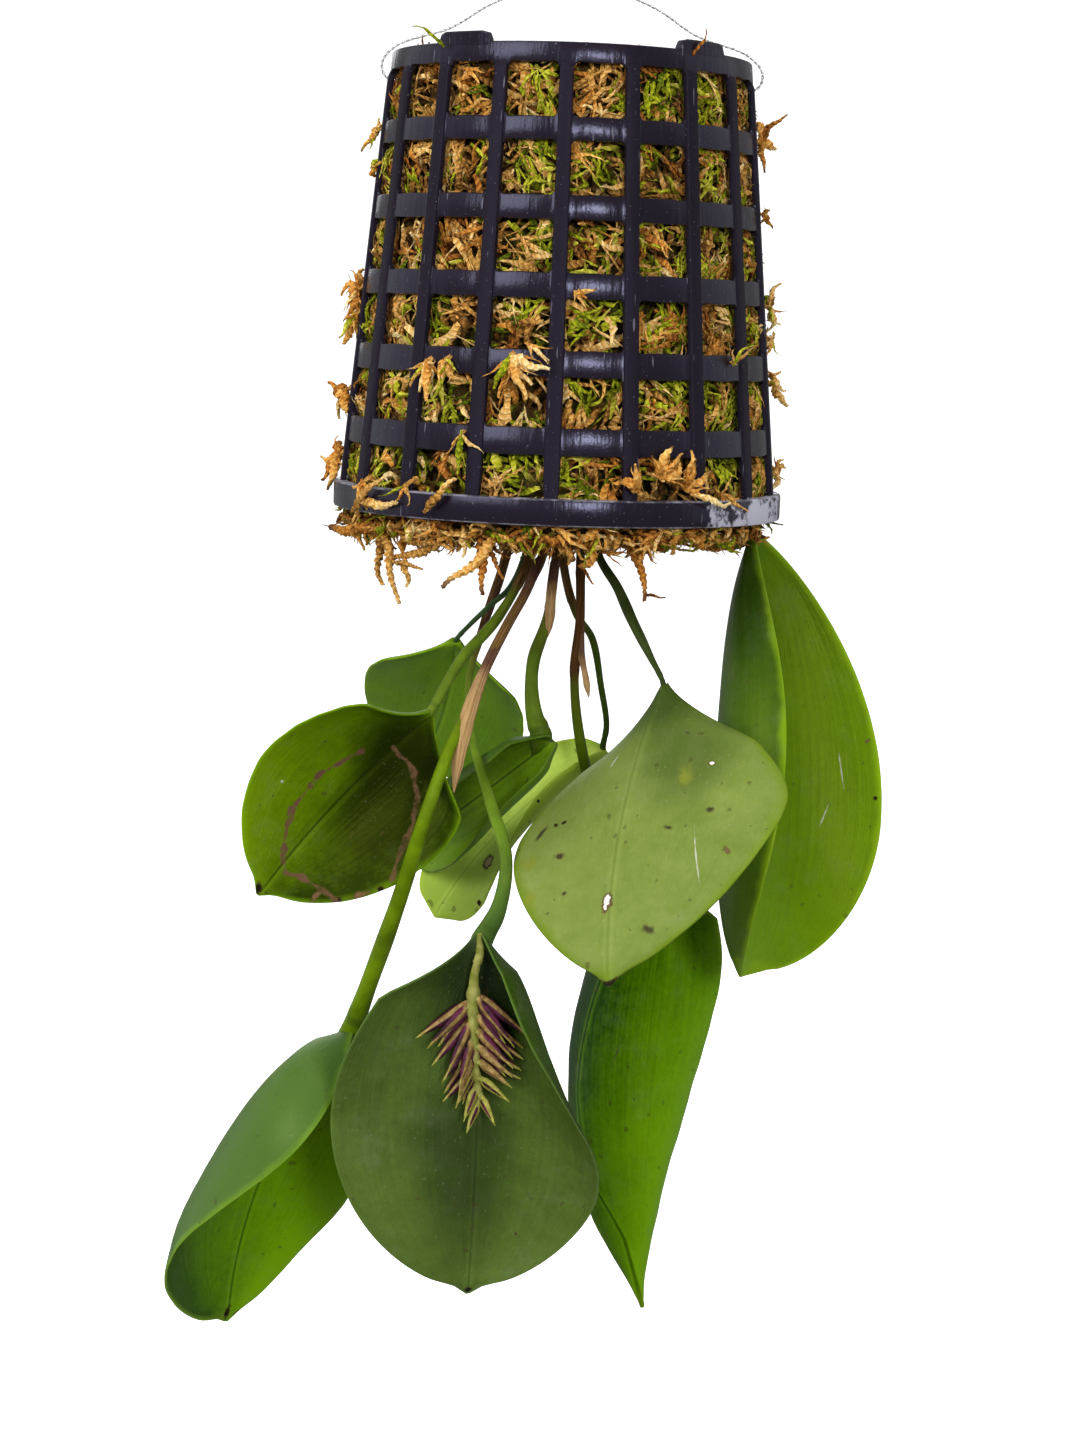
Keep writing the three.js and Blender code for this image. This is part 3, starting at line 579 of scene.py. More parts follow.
def blackPlastic(name, satin):
    made = Finish(name, 0.34, 0.12 if satin else 0.3, (0.66, 0.67, 1))
    place = made.coordinates
    cloudy = made.noise(place, 45, 3)
    drawn = made.scaled(place, 1, 1, 0.12)
    streaks = made.noise(drawn, 900, 2)
    fine = made.noise(place, 1500, 2, 0.6)
    base = made.colour(cloudy, (0.008, 0.005, 0.007), (0.015, 0.011, 0.02))
    # dust and scuffs, thickest low on the right
    toRight, toBack, height = made.split(place)
    low = made.band(height, -0.104, -0.11)
    front = made.band(toBack, 0, -0.016)
    right = made.times(made.times(low, made.band(toRight, 0.02, 0.036)), front)
    worn = made.noise(place, 320, 4, 0.65)
    patches = made.noise(place, 75, 2)
    need = made.minus(0.72, made.times(right, 0.3))
    scuffs = made.band(made.plus(made.times(worn, 0.55), made.times(patches, 0.45)),
                       need, made.plus(need, 0.07))
    specks = made.band(made.noise(place, 2100, 1), 0.72, 0.78)
    scratch = made.band(made.noise(made.scaled(place, 1, 1, 0.06), 1700, 1), 0.735, 0.78)
    marks = made.most(made.times(scuffs, 0.8), made.times(specks, 0.25))
    marks = made.most(marks, made.times(scratch, 0.28), clamp=True)
    if not satin:
        # thin pale lines along the rim's edges: partly rubbed wear, partly a painted highlight on the edges
        worn = made.band(worn, 0.42, 0.6, (0.15, 0.75))
        for edge in (-0.113, -0.1079):
            away = made.math("ABSOLUTE", made.minus(height, edge))
            marks = made.most(marks, made.times(made.band(away, 0.0004, 0.0001), worn))
    made.paint(made.colour(marks, base, made.colour(right, (0.34, 0.33, 0.4), (0.66, 0.65, 0.76))))
    smoothest = 0.5 if satin else 0.2
    made.put("Roughness", made.band(made.plus(marks, made.times(cloudy, 0.3)), 0, 1, (smoothest, 0.75)))
    made.bump((cloudy, 0.0006), (streaks, 0.00008), (fine, 0.00003))
    return made.material


potPiece = makePot()
settle(potPiece, "net_pot")
print("pot made:", len(potPiece.data.polygons), "faces")

# Hanger: a twisted pair of thin wires, an eye at the top, hooked under the top band

hanger = {
    "wire": 0.15,
    "pairOffset": 0.15,
    "twistPitch": 2.2,
    "eyeInner": 4.5,
    "eyeWire": 0.55,
    "hookAngles": (-91.5, 88.5),
}


def twisted(path, turns, start=0):
    made = []
    for phase in (0, pi):
        frames = framesOn(path)
        line = []
        for i, (centre, (_, side, ahead)) in enumerate(zip(path, frames)):
            a = start + phase + 2 * pi * turns * i / (len(path) - 1)
            line.append(centre + hanger["pairOffset"] * (side * cos(a) + ahead * sin(a)))
        made.append(tubeMesh(np.array(line), lambda t: (hanger["wire"],) * 2, 6))
    return made


def makeHanger():
    parts = []
    thick, eye = hanger["eyeWire"], hanger["eyeInner"]
    foot = -2 * eye - thick
    around = [-90 + 356 * k / 90 for k in range(91)]
    middle = eye + thick
    ring = np.array([[middle * cos(radians(a)), 0, -eye + middle * sin(radians(a))] for a in around])
    parts += twisted(ring, 2 * pi * middle / hanger["twistPitch"])
    for angle in hanger["hookAngles"]:
        outside = pot["topRadius"] + thick + 0.75
        side = 1 if angle > 0 else -1
        edge = onWall(angle, outside, potTop + thick + 0.8)
        below = potTop - pot["bandHeight"] - thick - 0.6
        points = [
            [side * 0.9, 0, foot + 0.1],
            [edge[0] * 0.25, edge[1] * 0.25, mix(foot, edge[2], 0.11)],
            [edge[0] * 0.45, edge[1] * 0.45, mix(foot, edge[2], 0.33)],
            [edge[0] * 0.66, edge[1] * 0.66, mix(foot, edge[2], 0.69)],
            [edge[0] * 0.94, edge[1] * 0.94, edge[2] + 0.5],
            onWall(angle, outside + 0.7, potTop - 1.2),
            onWall(angle, outside + 0.6, mix(potTop, below, 0.72)),
            onWall(angle, outside - 1, below),
            onWall(angle, pot["topRadius"] - 1.7, below + 0.1),
        ]
        path = smoothPath(points, 150)
        length = np.linalg.norm(np.diff(path, axis=0), axis=1).sum()
        parts += twisted(path, length / hanger["twistPitch"], start=angle)
    # the loose end wound round the foot of the eye
    turns, coil = 5, []
    for k in range(turns * 14 + 1):
        a = 2 * pi * k / 14
        coil.append([1.15 * cos(a), 0.85 * sin(a), foot + 0.75 - 0.55 * k / 14])
    parts.append(tubeMesh(np.array(coil), lambda t: (hanger["wire"],) * 2, 6))
    piece = newPiece("wires", *joined(parts))
    smoothShade(piece, 60)
    return piece


def zincWire():
    made = Finish("thin galvanised wire", 0.36, 0.5)
    made.put("Metallic", 0.85)
    dull = made.noise(made.coordinates, 700, 3)
    made.paint(made.colour(dull, (0.55, 0.56, 0.57), (0.8, 0.81, 0.81)))
    made.put("Roughness", made.band(dull, 0.3, 0.7, (0.28, 0.55)))
    made.bump((made.noise(made.coordinates, 3000, 1), 0.00002))
    return made.material


settle(makeHanger(), "hanger", zincWire())
print("wires made")

# Leaves: one leathery cupped blade to a stem

# aim: lean to the right, lean to the front and turn of the inner face, in degrees;
# curl: degrees from midrib to margin, (left, right), at the foot, added midway, at the tip;
# turns: bow backwards, sway and twist over the length; full: how full the outline is below and above its widest
leaves = {
    "flower": {
        "base": (-11.9, -31, -196.3), "aim": (1.6, 0.65, 3.9), "length": 71, "half": (29, 29),
        "widest": 0.49, "full": (0.4, 0.64),
        "curl": ((56, 150), (-29, -2), (6, 48)), "curlEnd": 0.9, "turns": (-6.5, -2.8, -15.7), "lobe": 2.4,
        "funnel": ((1.3, 0.9, 0.13), (2.8, 2.4, 0.1)),
    },
    "upperLeft": {
        "base": (-19.9, 6.5, -141.1), "aim": (-2.8, -44, -5.8), "length": 43, "half": (17.9, 18.7),
        "widest": 0.4, "full": (0.4, 0.38),
        "curl": ((34, 52), (-10, -12), (18, 19)), "turns": (3, -15.7, 15.6), "lobe": 0.1,
    },
    "left": {
        "base": (-23.6, -18.2, -152.9), "aim": (-49, 6.5, 20), "length": 48, "half": (22, 23),
        "widest": 0.34, "full": (0.46, 0.62),
        "curl": ((92, 71), (-24, 4), (15, 33)), "turns": (19.5, 6.1, 1.7), "lobe": 0.2,
    },
    "lowerLeft": {
        "base": (-38.6, -12.5, -220.3), "aim": (-37, -16.6, 26), "length": 75, "half": (38, 21),
        "widest": 0.22, "full": (0.35, 0.6),
        "curl": ((150, 111), (-9, 1), (58, 5)), "turns": (20, 25, -11.4), "lobe": 2.3,
        "funnel": ((4, 7, 0.5), (1.8, 1.5, 0.1)),
    },
    "centre": {
        "base": (0.6, -8, -159), "aim": (-47, -25, -0.27), "length": 50, "half": (15.0, 12.2),
        "widest": 0.41, "full": (0.36, 0.46),
        "curl": ((91, 122), (53, 38), (23, 37)), "turns": (-13.7, 0.68, -2.9), "lobe": 1.3,
        "funnel": ((2.2, 1.6, 0.1), (2.2, 1.3, 0.1)),
    },
    "hindCentre": {
        "base": (12.2, 14.3, -164), "aim": (-58, -1.50, -46), "length": 50, "half": (10.6, 11.3),
        "widest": 0.52, "full": (0.48, 0.26),
        "curl": ((75, 122), (7, 23), (27, 1)), "turns": (-14.9, 25, -7.6), "lobe": 0,
    },
    "lowerRight": {
        "base": (23, 7, -190.8), "aim": (-15.5, 11.6, 143), "length": 89, "half": (21, 19.7),
        "widest": 0.31, "full": (0.37, 1.15),
        "curl": ((59, 72), (19, 2), (83, 57)), "turns": (22, -25, -33), "lobe": 5.2,
    },
    "frontRight": {
        "base": (22.3, -22.5, -145.2), "aim": (-21, 22, 124), "length": 61, "half": (33, 26),
        "widest": 0.38, "full": (0.62, 0.85), "neck": 0.5,
        "curl": ((63, 79), (-27, -27), (10, 2)), "turns": (3.8, -24, -27), "lobe": 1,
        "funnel": ((0.5, 1.2, 0.25), (0.45, 0.5, 0.06)), "heel": 0.3,
    },
    "right": {
        "base": (40.9, 9.8, -117.6), "aim": (-5.1, 11.2, 30), "length": 90, "half": (31, 33),
        "widest": 0.63, "full": (0.79, 0.47),
        "curl": ((127, 30), (34, 27), (87, 30)), "turns": (18.6, -2.9, -17.6), "lobe": 1,
        "funnel": ((3, 2.6, 0.2), (3, 2.6, 0.2)),
    },
}
blade = {"rows": 59, "columns": 40, "thickness": 1.1, "edgeShare": 0.5, "wave": 0.4, "rib": 0.28, "tip": 1.3}


def outlineShare(leaf, u):
    widest = leaf["widest"]
    if u < widest:
        neck = mix(leaf.get("neck", 1), 1, smooth(u / 0.13))
        return neck * max(0, 1 - ((widest - u) / widest) ** 2) ** leaf["full"][0]
    return max(0, 1 - ((u - widest) / (1 - widest)) ** 2) ** leaf["full"][1]


def leafSpine(leaf, steps=240):
    # centre, side, inner face and direction, from the joint to the tip
    lean, toward, face = leaf["aim"]
    lean, toward = radians(lean), radians(toward)
    tangent = np.array([sin(lean) * cos(toward), -sin(toward), -cos(lean) * cos(toward)])
    inner = unit(front - tangent * np.dot(front, tangent))
    inner = turnAbout(inner, tangent, -face)
    side = np.cross(inner, tangent)
    centre = np.array(leaf["base"], float)
    bow, sway, twist = leaf["turns"]
    spine = []
    for _ in range(steps + 1):
        spine.append((centre.copy(), side, inner, tangent))
        centre = centre + tangent * leaf["length"] / steps
        for axis, degrees in zip((side, inner, tangent), (-bow, sway, twist)):
            side, inner, tangent = (turnAbout(v, axis, degrees / steps) for v in (side, inner, tangent))
    return spine


def leafPoint(leaf, spine, u, v):
    # v runs from -1 at the left margin to 1 at the right, seen on the inner face
    at = u * (len(spine) - 1)
    i = min(int(at), len(spine) - 2)
    rest = at - i
    centre, side, inner, tangent = (spine[i][k] * (1 - rest) + spine[i + 1][k] * rest for k in range(4))
    which = 0 if v < 0 else 1
    opened = smooth(u / leaf.get("curlEnd", 1))
    foot, middle, tip = (curl[which] for curl in leaf["curl"])
    curl = radians(mix(foot, tip, opened) + middle * 4 * u * (1 - u))
    width = max(leaf["half"][which] * outlineShare(leaf, u), mix(1.5, 0.5, u))
    # the first few millimetres run out of the stem like a funnel
    start, steady, flare = leaf.get("funnel", ((1.2, 1.3, 0.1), (1.2, 1.3, 0.1)))[which]
    far = u * leaf["length"]
    width = min(width, start + steady * far + flare * far * far)
    reach = abs(v)
    angle = max(curl * reach, 1e-4)
    radius = reach * width / angle
    lobe = leaf["lobe"] * reach**1.6 * (1 - u) ** 4
    place = centre + side * (radius * sin(angle) * (1 if v > 0 else -1))
    place = place + inner * (radius * (1 - cos(angle))) - tangent * lobe
    outward = side * (sin(angle) * (1 if v > 0 else -1)) - inner * cos(angle)
    return place, outward, width


def columnPlaces(columns):
    # places across one half: close together at the midrib and at the margin
    half = columns // 2
    places = [((k / (half - 3)) ** 1.2) * 0.955 for k in range(half - 2)] + [0.978, 0.992, 1]
    return [-v for v in reversed(places[1:])] + places


# colours of the faces, from shaded to lit, of the margin, and the tint of the waxy shine;
# the slope of painted light: how much lighter a face is painted towards its right margin and its tip, as seen on the
# inner face, for how the light falls on it;
# glow: width in mm and strength of the light green that shows through near the margin
# each leaf's colours are set to how light that leaf looks where it hangs, so they also hold painted light and shade:
# the hind centre leaf's pale, high values stand for light shining through it
usualLook = {
    "inner": ((0.03, 0.08, 0.002), (0.08, 0.17, 0.004)),
    "gloss": 0.4, "shine": 0.4, "veins": 0.4, "line": 0.6, "dustAndSheen": 0.12, "blotch": 0.15, "pores": 0.1,
}
leafLooks = {
    "flower": {
        "outer": ((0.012, 0.035, 0.001), (0.04, 0.085, 0.004)), "shade": (0.003, 0.009, 0.001),
        "inner": ((0.03, 0.055, 0.006), (0.11, 0.18, 0.024)), "dustAndSheen": 0.22,
        "rim": (0.1, 0.18, 0.03), "tint": (0.8, 1, 0.65), "paintedLightSlope": (0, 0.25), "glow": (0.5, 0.35),
        "blotch": 0.25, "pores": 0.2, "shine": 0.42, "outerTint": (0.7, 1, 0.05),
        "innerShades": ((0.15, 1.1, 1.9, 2, 0.95), (-0.3, 4.4, 1.5, 2.6, 0.6)), "line": 0.25, "gloss": 0.25,
        "outerShades": ((2.4, 3.6, 1.5, 2.2, 0.9),),
    },
    "upperLeft": {
        "outer": ((0.05, 0.12, 0.006), (0.12, 0.25, 0.02)),
        "inner": ((0.068, 0.165, 0.003), (0.18, 0.34, 0.006)),
        "rim": (0.19, 0.36, 0.01), "tint": (0.75, 0.95, 0.15), "paintedLightSlope": (-0.4, 0.1), "glow": (2.2, 0.45),
        "shine": 0.42,
    },
    "left": {
        "outer": ((0.07, 0.15, 0.006), (0.13, 0.25, 0.02)),
        "inner": ((0.012, 0.028, 0.0004), (0.14, 0.255, 0.0008)), "shade": (0.003, 0.007, 0.0005),
        "rim": (0.17, 0.33, 0.004), "tint": (0.75, 0.95, 0.1), "paintedLightSlope": (-1.2, -0.1), "glow": (2, 0.45),
        "innerShades": ((0.9, 2, 1.5, 2.3, 0.8), (0.3, 1, 1.7, 1.6, 0.9)), "gloss": 0.18,
        "blotch": 0.28,
    },
    "lowerLeft": {
        "outer": ((0.066, 0.14, 0.02), (0.15, 0.26, 0.045)),
        "inner": ((0.028, 0.09, 0.0002), (0.19, 0.42, 0.0005)), "gloss": 0.24,
        "rim": (0.2, 0.37, 0.02), "tint": (0.75, 0.95, 0), "paintedLightSlope": (1.5, 0.1), "glow": (1.8, 0.5),
        "blotch": 0.1, "pores": 0.15, "outerTint": (0.75, 0.95, 0.4),
    },
    "centre": {
        "outer": ((0.04, 0.1, 0.004), (0.1, 0.2, 0.008)),
        "inner": ((0.01, 0.03, 0.004), (0.2, 0.38, 0.004)), "gloss": 0.26,
        "rim": (0.085, 0.155, 0.01), "tint": (0.75, 0.95, 0.4), "paintedLightSlope": (0.95, 0.1), "glow": (1.6, 0.3),
        "pores": 0.15, "shine": 0.42,
    },
    "hindCentre": {
        "outer": ((0.26, 0.42, 0.02), (0.44, 0.62, 0.05)),
        "inner": ((0.37, 0.55, 0.06), (0.62, 0.8, 0.14)),
        "rim": (0.45, 0.66, 0.05), "tint": (0.8, 0.95, 0.3), "paintedLightSlope": (0.2, -0.85), "glow": (1.5, 0.5), "gloss": 0.3,
        "blotch": 0.2, "pores": 0.2, "shine": 0.45, "line": 0.25,
    },
    "lowerRight": {
        "outer": ((0.003, 0.038, 0.0001), (0.162, 0.365, 0.003)),
        "rim": (0.2, 0.36, 0.006), "tint": (0.75, 0.95, 0), "paintedLightSlope": (-1.1, 1), "glow": (1.6, 0.45),
        "gloss": 0.16, "blotch": 0.1, "pores": 0.12,
        "midrib": ((0, 0.1), (0.29, 0.41), (0.5, 0.6), (0.71, 0.55), (0.84, 0.12), (1, 0)),
    },
    "frontRight": {
        "outer": ((0.105, 0.168, 0.016), (0.232, 0.3, 0.068)), "gloss": 0.32, "veins": 0.18, "line": 0.2,
        "outerShades": ((-1.1, 1.5, 1.5, 1.7, 0.6), (0, 0.2, 1.3, 1.3, 0.9)), "shade": (0.03, 0.06, 0.008),
        "rim": (0.13, 0.215, 0), "tint": (0.8, 0.95, 0.35), "paintedLightSlope": (0.3, 0.1), "glow": (3, 0.8),
        "blotch": 0.4, "pores": 0.3, "shine": 0.48,
    },
    "right": {
        "outer": ((0.026, 0.066, 0.005), (0.085, 0.17, 0.01)),
        "inner": ((0.035, 0.09, 0.001), (0.138, 0.27, 0.0015)), "gloss": 0.3,
        "rim": (0.24, 0.42, 0.006), "tint": (0.75, 0.95, 0.1), "paintedLightSlope": (0.25, 0.8), "glow": (1.9, 0.6),
        "blotch": 0.12,
    },
}


def makeBlade(name, leaf, seed, finishes):
    rows, columns = blade["rows"], blade["columns"]
    sizes = {"x_subdivisions": columns, "y_subdivisions": rows, "size": 2}
    piece = primitive(bpy.ops.mesh.primitive_grid_add, "leaf_" + name + "_skin", **sizes)
    mesh = piece.data
    for finish in finishes:
        mesh.materials.append(finish)
    spine = leafSpine(leaf)
    across = columnPlaces(columns)
    shape, flat, edge, weights = [], [], [], []
    wave = [seed * 1.7 + 2.1 * k for k in range(4)]
    for vertex in mesh.vertices:
        c = round((vertex.co.x + 1) / 2 * columns)
        r = (vertex.co.y + 1) / 2
        u = mix(r, (1 - cos(pi * r)) / 2, 0.6)
        v = across[c]
        place, outward, width = leafPoint(leaf, spine, u, v)
        # slow waves, stronger at the margin, and the midrib's groove
        swell = sin(9 * u + 3 * v + wave[0]) + 0.6 * sin(17 * u - 5 * v + wave[1])
        swell += 0.5 * abs(v) ** 3 * sin(31 * u + wave[2]) + 0.3 * abs(v) ** 6 * sin(67 * u + wave[3])
        middle = np.interp(u, *zip(*leafLooks[name].get("midrib", ((0, 0), (1, 0)))))
        groove = blade["rib"] * exp(-(((v - middle) * width / 0.75) ** 2)) * smooth(u * 12) * (1 - 0.6 * u)
        ends = smooth(u * 9) * smooth((1 - u) * 12)
        place = place + outward * (blade["wave"] * 0.42 * swell * ends * abs(v) ** 0.7 + groove)
        # a small point at the tip
        point = exp(-((v * width / 1.7) ** 2)) - 0.25 * exp(-(((abs(v) * width - 5) / 3) ** 2))
        ahead = spine[min(int(u * 240), 240)][3]
        place = place + ahead * (blade["tip"] * point * smooth((u - 0.93) / 0.07))
        vertex.co = Vector(place * mm)
        margin = (1 - abs(v)) * width
        tipward = (1 - u) * leaf["length"]
        shape.append(((v + 1) / 2, u))
        flat.append(((v - middle) * width / 10, u * leaf["length"] / 10))
        edge.append((min(margin, tipward * 0.7) / 10, width / 10))
        rounded = sqrt(max(0, 1 - max(0, 1 - margin / 0.7) ** 2))
        taper = mix(1, blade["edgeShare"], abs(v) ** 2)
        heel = 1 + leaf.get("heel", 0.8) * exp(-((u * leaf["length"] / 3.5) ** 2) - (v * width / 2.4) ** 2)
        weights.append(taper * mix(0.3, 1, rounded) * mix(0.45, 1, min(1, tipward / 2)) * heel)
    mesh.uv_layers.remove(mesh.uv_layers[0])
    giveUv(mesh, "shape", shape)
    giveUv(mesh, "flat", flat)
    giveUv(mesh, "edge", edge)
    thick = piece.vertex_groups.new(name="thick")
    for i, weight in enumerate(weights):
        thick.add([i], weight / 2, "REPLACE")
    wall = piece.modifiers.new("wall", "SOLIDIFY")
    wall.thickness = 2 * blade["thickness"] * mm
    wall.offset = 0
    wall.vertex_group = "thick"
    wall.material_offset = 1
    wall.material_offset_rim = 2
    applyModifiers(piece)
    only(piece)
    bpy.ops.object.transform_apply(location=True, rotation=True, scale=True)
    smoothShade(piece, 50)
    return piece


# marks on the leaves: across and along the blade in cm, half sizes in mm, turn in degrees, kind; by face
leafMarks = {
    ("frontRight", "outer"): [
        (0.07, 4.55, 1.1, 2.2, 4, "hole"), (-1.65, 1.55, 0.7, 0.5, 0, "hole"), (-0.95, 0.94, 0.9, 0.4, 10, "stain"),
        (-1.06, 3.03, 1.5, 0.6, 15, "stain"), (-1.87, 2.61, 1.3, 0.8, 0, "stain"), (-0.8, 5.16, 1.6, 1.1, 30, "stain"),
        (1.66, 2.88, 0.8, 0.4, 20, "black"), (1.45, 2.84, 0.7, 0.4, -20, "black"), (1.27, 3.56, 1.3, 0.8, 0, "stain"),
        (1.97, 3.03, 0.9, 2, 20, "stain"), (1, 4.32, 0.7, 0.6, 0, "stain"), (0, 6.06, 2.2, 0.6, 0, "black"),
        (-2.35, 3.56, 1.2, 0.6, 60, "tan"), (-1.72, 3.66, 0.22, 7, -10, "scratch"), (0.6, 1.6, 0.3, 2, 25, "scratch"),
        (1.75, 4.4, 1.6, 2.6, 30, "yellow"), (-1.2, 1.9, 2.2, 3, 0, "yellow"), (1.9, 3.7, 2.5, 2, 0, "yellow"),
    ],
    ("left", "inner"): [
        (-0.07, 4.74, 1.3, 0.8, 0, "black"), (1.33, 4.02, 1.2, 0.7, 70, "black"), (1.88, 3.25, 0.9, 0.8, 60, "black"),
        (1.62, 3.62, 2.4, 0.8, 60, "tan"), (0.95, 4.22, 2.6, 0.7, 80, "tan"), (-1.2, 3, 0.4, 0.4, 0, "scratch"),
    ],
    ("lowerLeft", "inner"): [(-0.04, 7.3, 0.7, 1.8, -20, "black"), (0.25, 7.42, 1.6, 0.7, 0, "tan")],
    ("hindCentre", "inner"): [(0.38, 3.45, 1.5, 1.8, 20, "scar"), (0.86, 4.24, 0.7, 0.6, 0, "black")],
    ("hindCentre", "outer"): [(0.98, 1.71, 0.4, 0.4, 0, "black")],
    ("upperLeft", "inner"): [(-1.76, 2.43, 0.5, 0.8, 0, "hole")],
    ("centre", "inner"): [(-0.9, 2.6, 0.35, 0.3, 0, "black")],
    ("lowerRight", "outer"): [(0.3, 8.5, 2, 3, 0, "yellow"), (-0.9, 3.6, 0.25, 2.5, 10, "stain")],
    ("flower", "inner"): [(0.9, 5.9, 0.5, 0.6, 0, "stain"), (0, 7.02, 0.9, 0.5, 0, "black")],
    ("right", "inner"): [
        (2.9, 4, 0.8, 0.4, 40, "tan"), (3.15, 5.2, 0.5, 0.5, 0, "black"), (2.4, 4.6, 0.2, 4.5, 12, "scratch"),
        (2.1, 5.6, 0.2, 3.5, -20, "scratch"), (-0.2, 8.9, 0.8, 0.8, 0, "tan"),
    ],
    ("right", "outer"): [(-2.9, 2.6, 0.7, 0.5, 0, "hole"), (-3, 6.9, 0.8, 0.5, 0, "black")],
}


# winding lines that a miner left in the left leaf: points across and along the blade in cm
weals = {
    ("left", "inner"): [
        [(-0.44, 1.46), (-0.71, 2.39), (-0.61, 3.28), (-0.18, 3.94), (0.16, 4.24), (0.53, 4.09), (1.32, 4)],
        [(-0.02, 0.98), (0.56, 0.95), (1.07, 1.25), (1.43, 1.73), (1.67, 2.36), (1.92, 2.95)],
    ],
}


def leafSkin(name, side, look):
    made = Finish(f"{name} leaf, {side} face", look["shine"], look["gloss"], look.get(side + "Tint", look["tint"]))
    _, v, u = made.uv("shape")
    flat, across, _ = made.uv("flat")
    _, margin, _ = made.uv("edge")
    place = made.coordinates
    deep, light = look[side]
    clouds = made.noise(place, 48, 3, 0.55)
    blotches = made.noise(place, 230, 4, 0.62)
    # veins gather as the blade narrows
    vector = made.add("CombineXYZ", {0: made.times(v, 60), 1: made.times(u, 1.2), 2: 0})
    veins = made.noise(vector, 1, 2, 0.7)
    fineVector = made.add("CombineXYZ", {0: made.times(v, 230), 1: made.times(u, 5), 2: 0})
    hairlines = made.noise(fineVector, 1, 1)
    # painted light and shade: the face's colour shifts across the blade and along it, as the light falls on it
    toRight, toTip = look["paintedLightSlope"]
    share = made.plus(made.times(clouds, 0.7), 0.15 - 0.5 * (toRight + toTip))
    share = made.plus(share, made.times(v, toRight))
    share = made.plus(share, made.times(u, toTip))
    grain = made.noise(place, 800, 2, 0.7)
    patterns = ((veins, look["veins"]), (hairlines, 0.18), (blotches, 2 * look["blotch"]), (grain, 0.35))
    for pattern, strength in patterns:
        share = made.wobble(share, pattern, strength)
    colour = made.colour(made.plus(share, 0, True), deep, light)
    # midrib: a dark line, painted shade in its groove, between two paler ones
    offset = made.math("ABSOLUTE", across)
    line = made.band(offset, 0.045, 0.012)
    pale = made.minus(made.band(offset, 0.14, 0.05), line, True)
    colour = made.over(colour, pale, 0.2, tuple(min(1, 1.3 * c + 0.01) for c in light))
    colour = made.over(colour, line, look["line"], tuple(0.6 * c for c in deep))
    # margin: light comes through where the blade thins out
    wide, strength = look["glow"]
    near = made.wobble(margin, made.noise(place, 160, 2), 0.12 * wide)
    colour = made.colour(made.times(made.band(near, wide / 10, 0), strength), colour, look["rim"])
    colour = made.colour(made.times(made.band(margin, 0.035, 0), 0.5), colour, look["rim"])
    # dried water and bloom, which also paint in part of the waxy sheen as a painted reflection
    chalkAndSheen = made.band(made.noise(place, 110, 4, 0.7), 0.46, 0.72)
    chalkAndSheen = made.times(chalkAndSheen, made.band(blotches, 0.35, 0.65))
    colour = made.over(colour, chalkAndSheen, look["dustAndSheen"], (0.17, 0.19, 0.135))
    for x, y, wide, tall, strength in look.get(side + "Shades", ()):
        far = made.wobble(made.away(flat, x, y, wide, tall), clouds, 0.6)
        shaded = made.times(made.band(far, 1, 0.25), strength)
        colour = made.colour(shaded, colour, look.get("shade", tuple(0.5 * c for c in deep)))
    # pale pores and dry specks
    pores = made.band(made.noise(place, 1900, 1), 0.7, 0.76)
    colour = made.over(colour, pores, look["pores"], (0.32, 0.38, 0.2))
    dry = made.band(made.noise(place, 620, 0), 0.79, 0.82)
    colour = made.over(colour, dry, 0.5, (0.05, 0.035, 0.012))
    rough = made.band(clouds, 0.2, 0.8, (look["shine"] - 0.05, look["shine"] + 0.08))
    for mark in leafMarks.get((name, side), []):
        colour, rough = paintMark(made, flat, place, colour, rough, mark)
    for line in weals.get((name, side), []):
        colour = paintWeal(made, flat, place, colour, line)
    made.paint(colour)
    made.put("Roughness", rough)
    skin = made.noise(place, 1300, 3, 0.6)
    made.bump((clouds, 0.0003), (veins, 0.0001), (hairlines, 0.00003), (skin, 0.00006))
    return made.material


markColours = {
    # heart, edge, how soft the edge is
    "black": ((0.006, 0.004, 0.003), (0.05, 0.04, 0.01), 0.45),
    "stain": ((0.045, 0.04, 0.016), (0.09, 0.1, 0.03), 0.8),
    "scar": ((0.42, 0.3, 0.19), (0.06, 0.022, 0.008), 0.4),
    "hole": ((0.8, 0.8, 0.75), (0.1, 0.05, 0.02), 0.35),
    "tan": ((0.16, 0.09, 0.045), (0.08, 0.05, 0.02), 0.7),
    "scratch": ((0.5, 0.52, 0.42), (0.25, 0.3, 0.14), 0.6),
    "yellow": ((0.22, 0.24, 0.02), (0.18, 0.22, 0.02), 1),
}


def paintMark(made, flat, place, colour, rough, mark):
    x, y, wideMm, tallMm, turned, kind = mark
    heart, edge, soft = markColours[kind]
    ragged = made.noise(place, 700, 3, 0.65)
    far = made.wobble(made.away(flat, x, y, wideMm / 10, tallMm / 10, turned), ragged, 1.5)
    faint = 0.5 if kind == "yellow" else 1
    whole = made.times(made.band(far, 1.15, 1.15 - soft), faint)
    core = made.times(made.band(far, 0.75, 0.75 - soft * 0.6), faint)
    colour = made.colour(whole, colour, edge)
    colour = made.colour(core, colour, heart)
    rough = made.plus(rough, made.times(whole, 0.25))
    return colour, rough


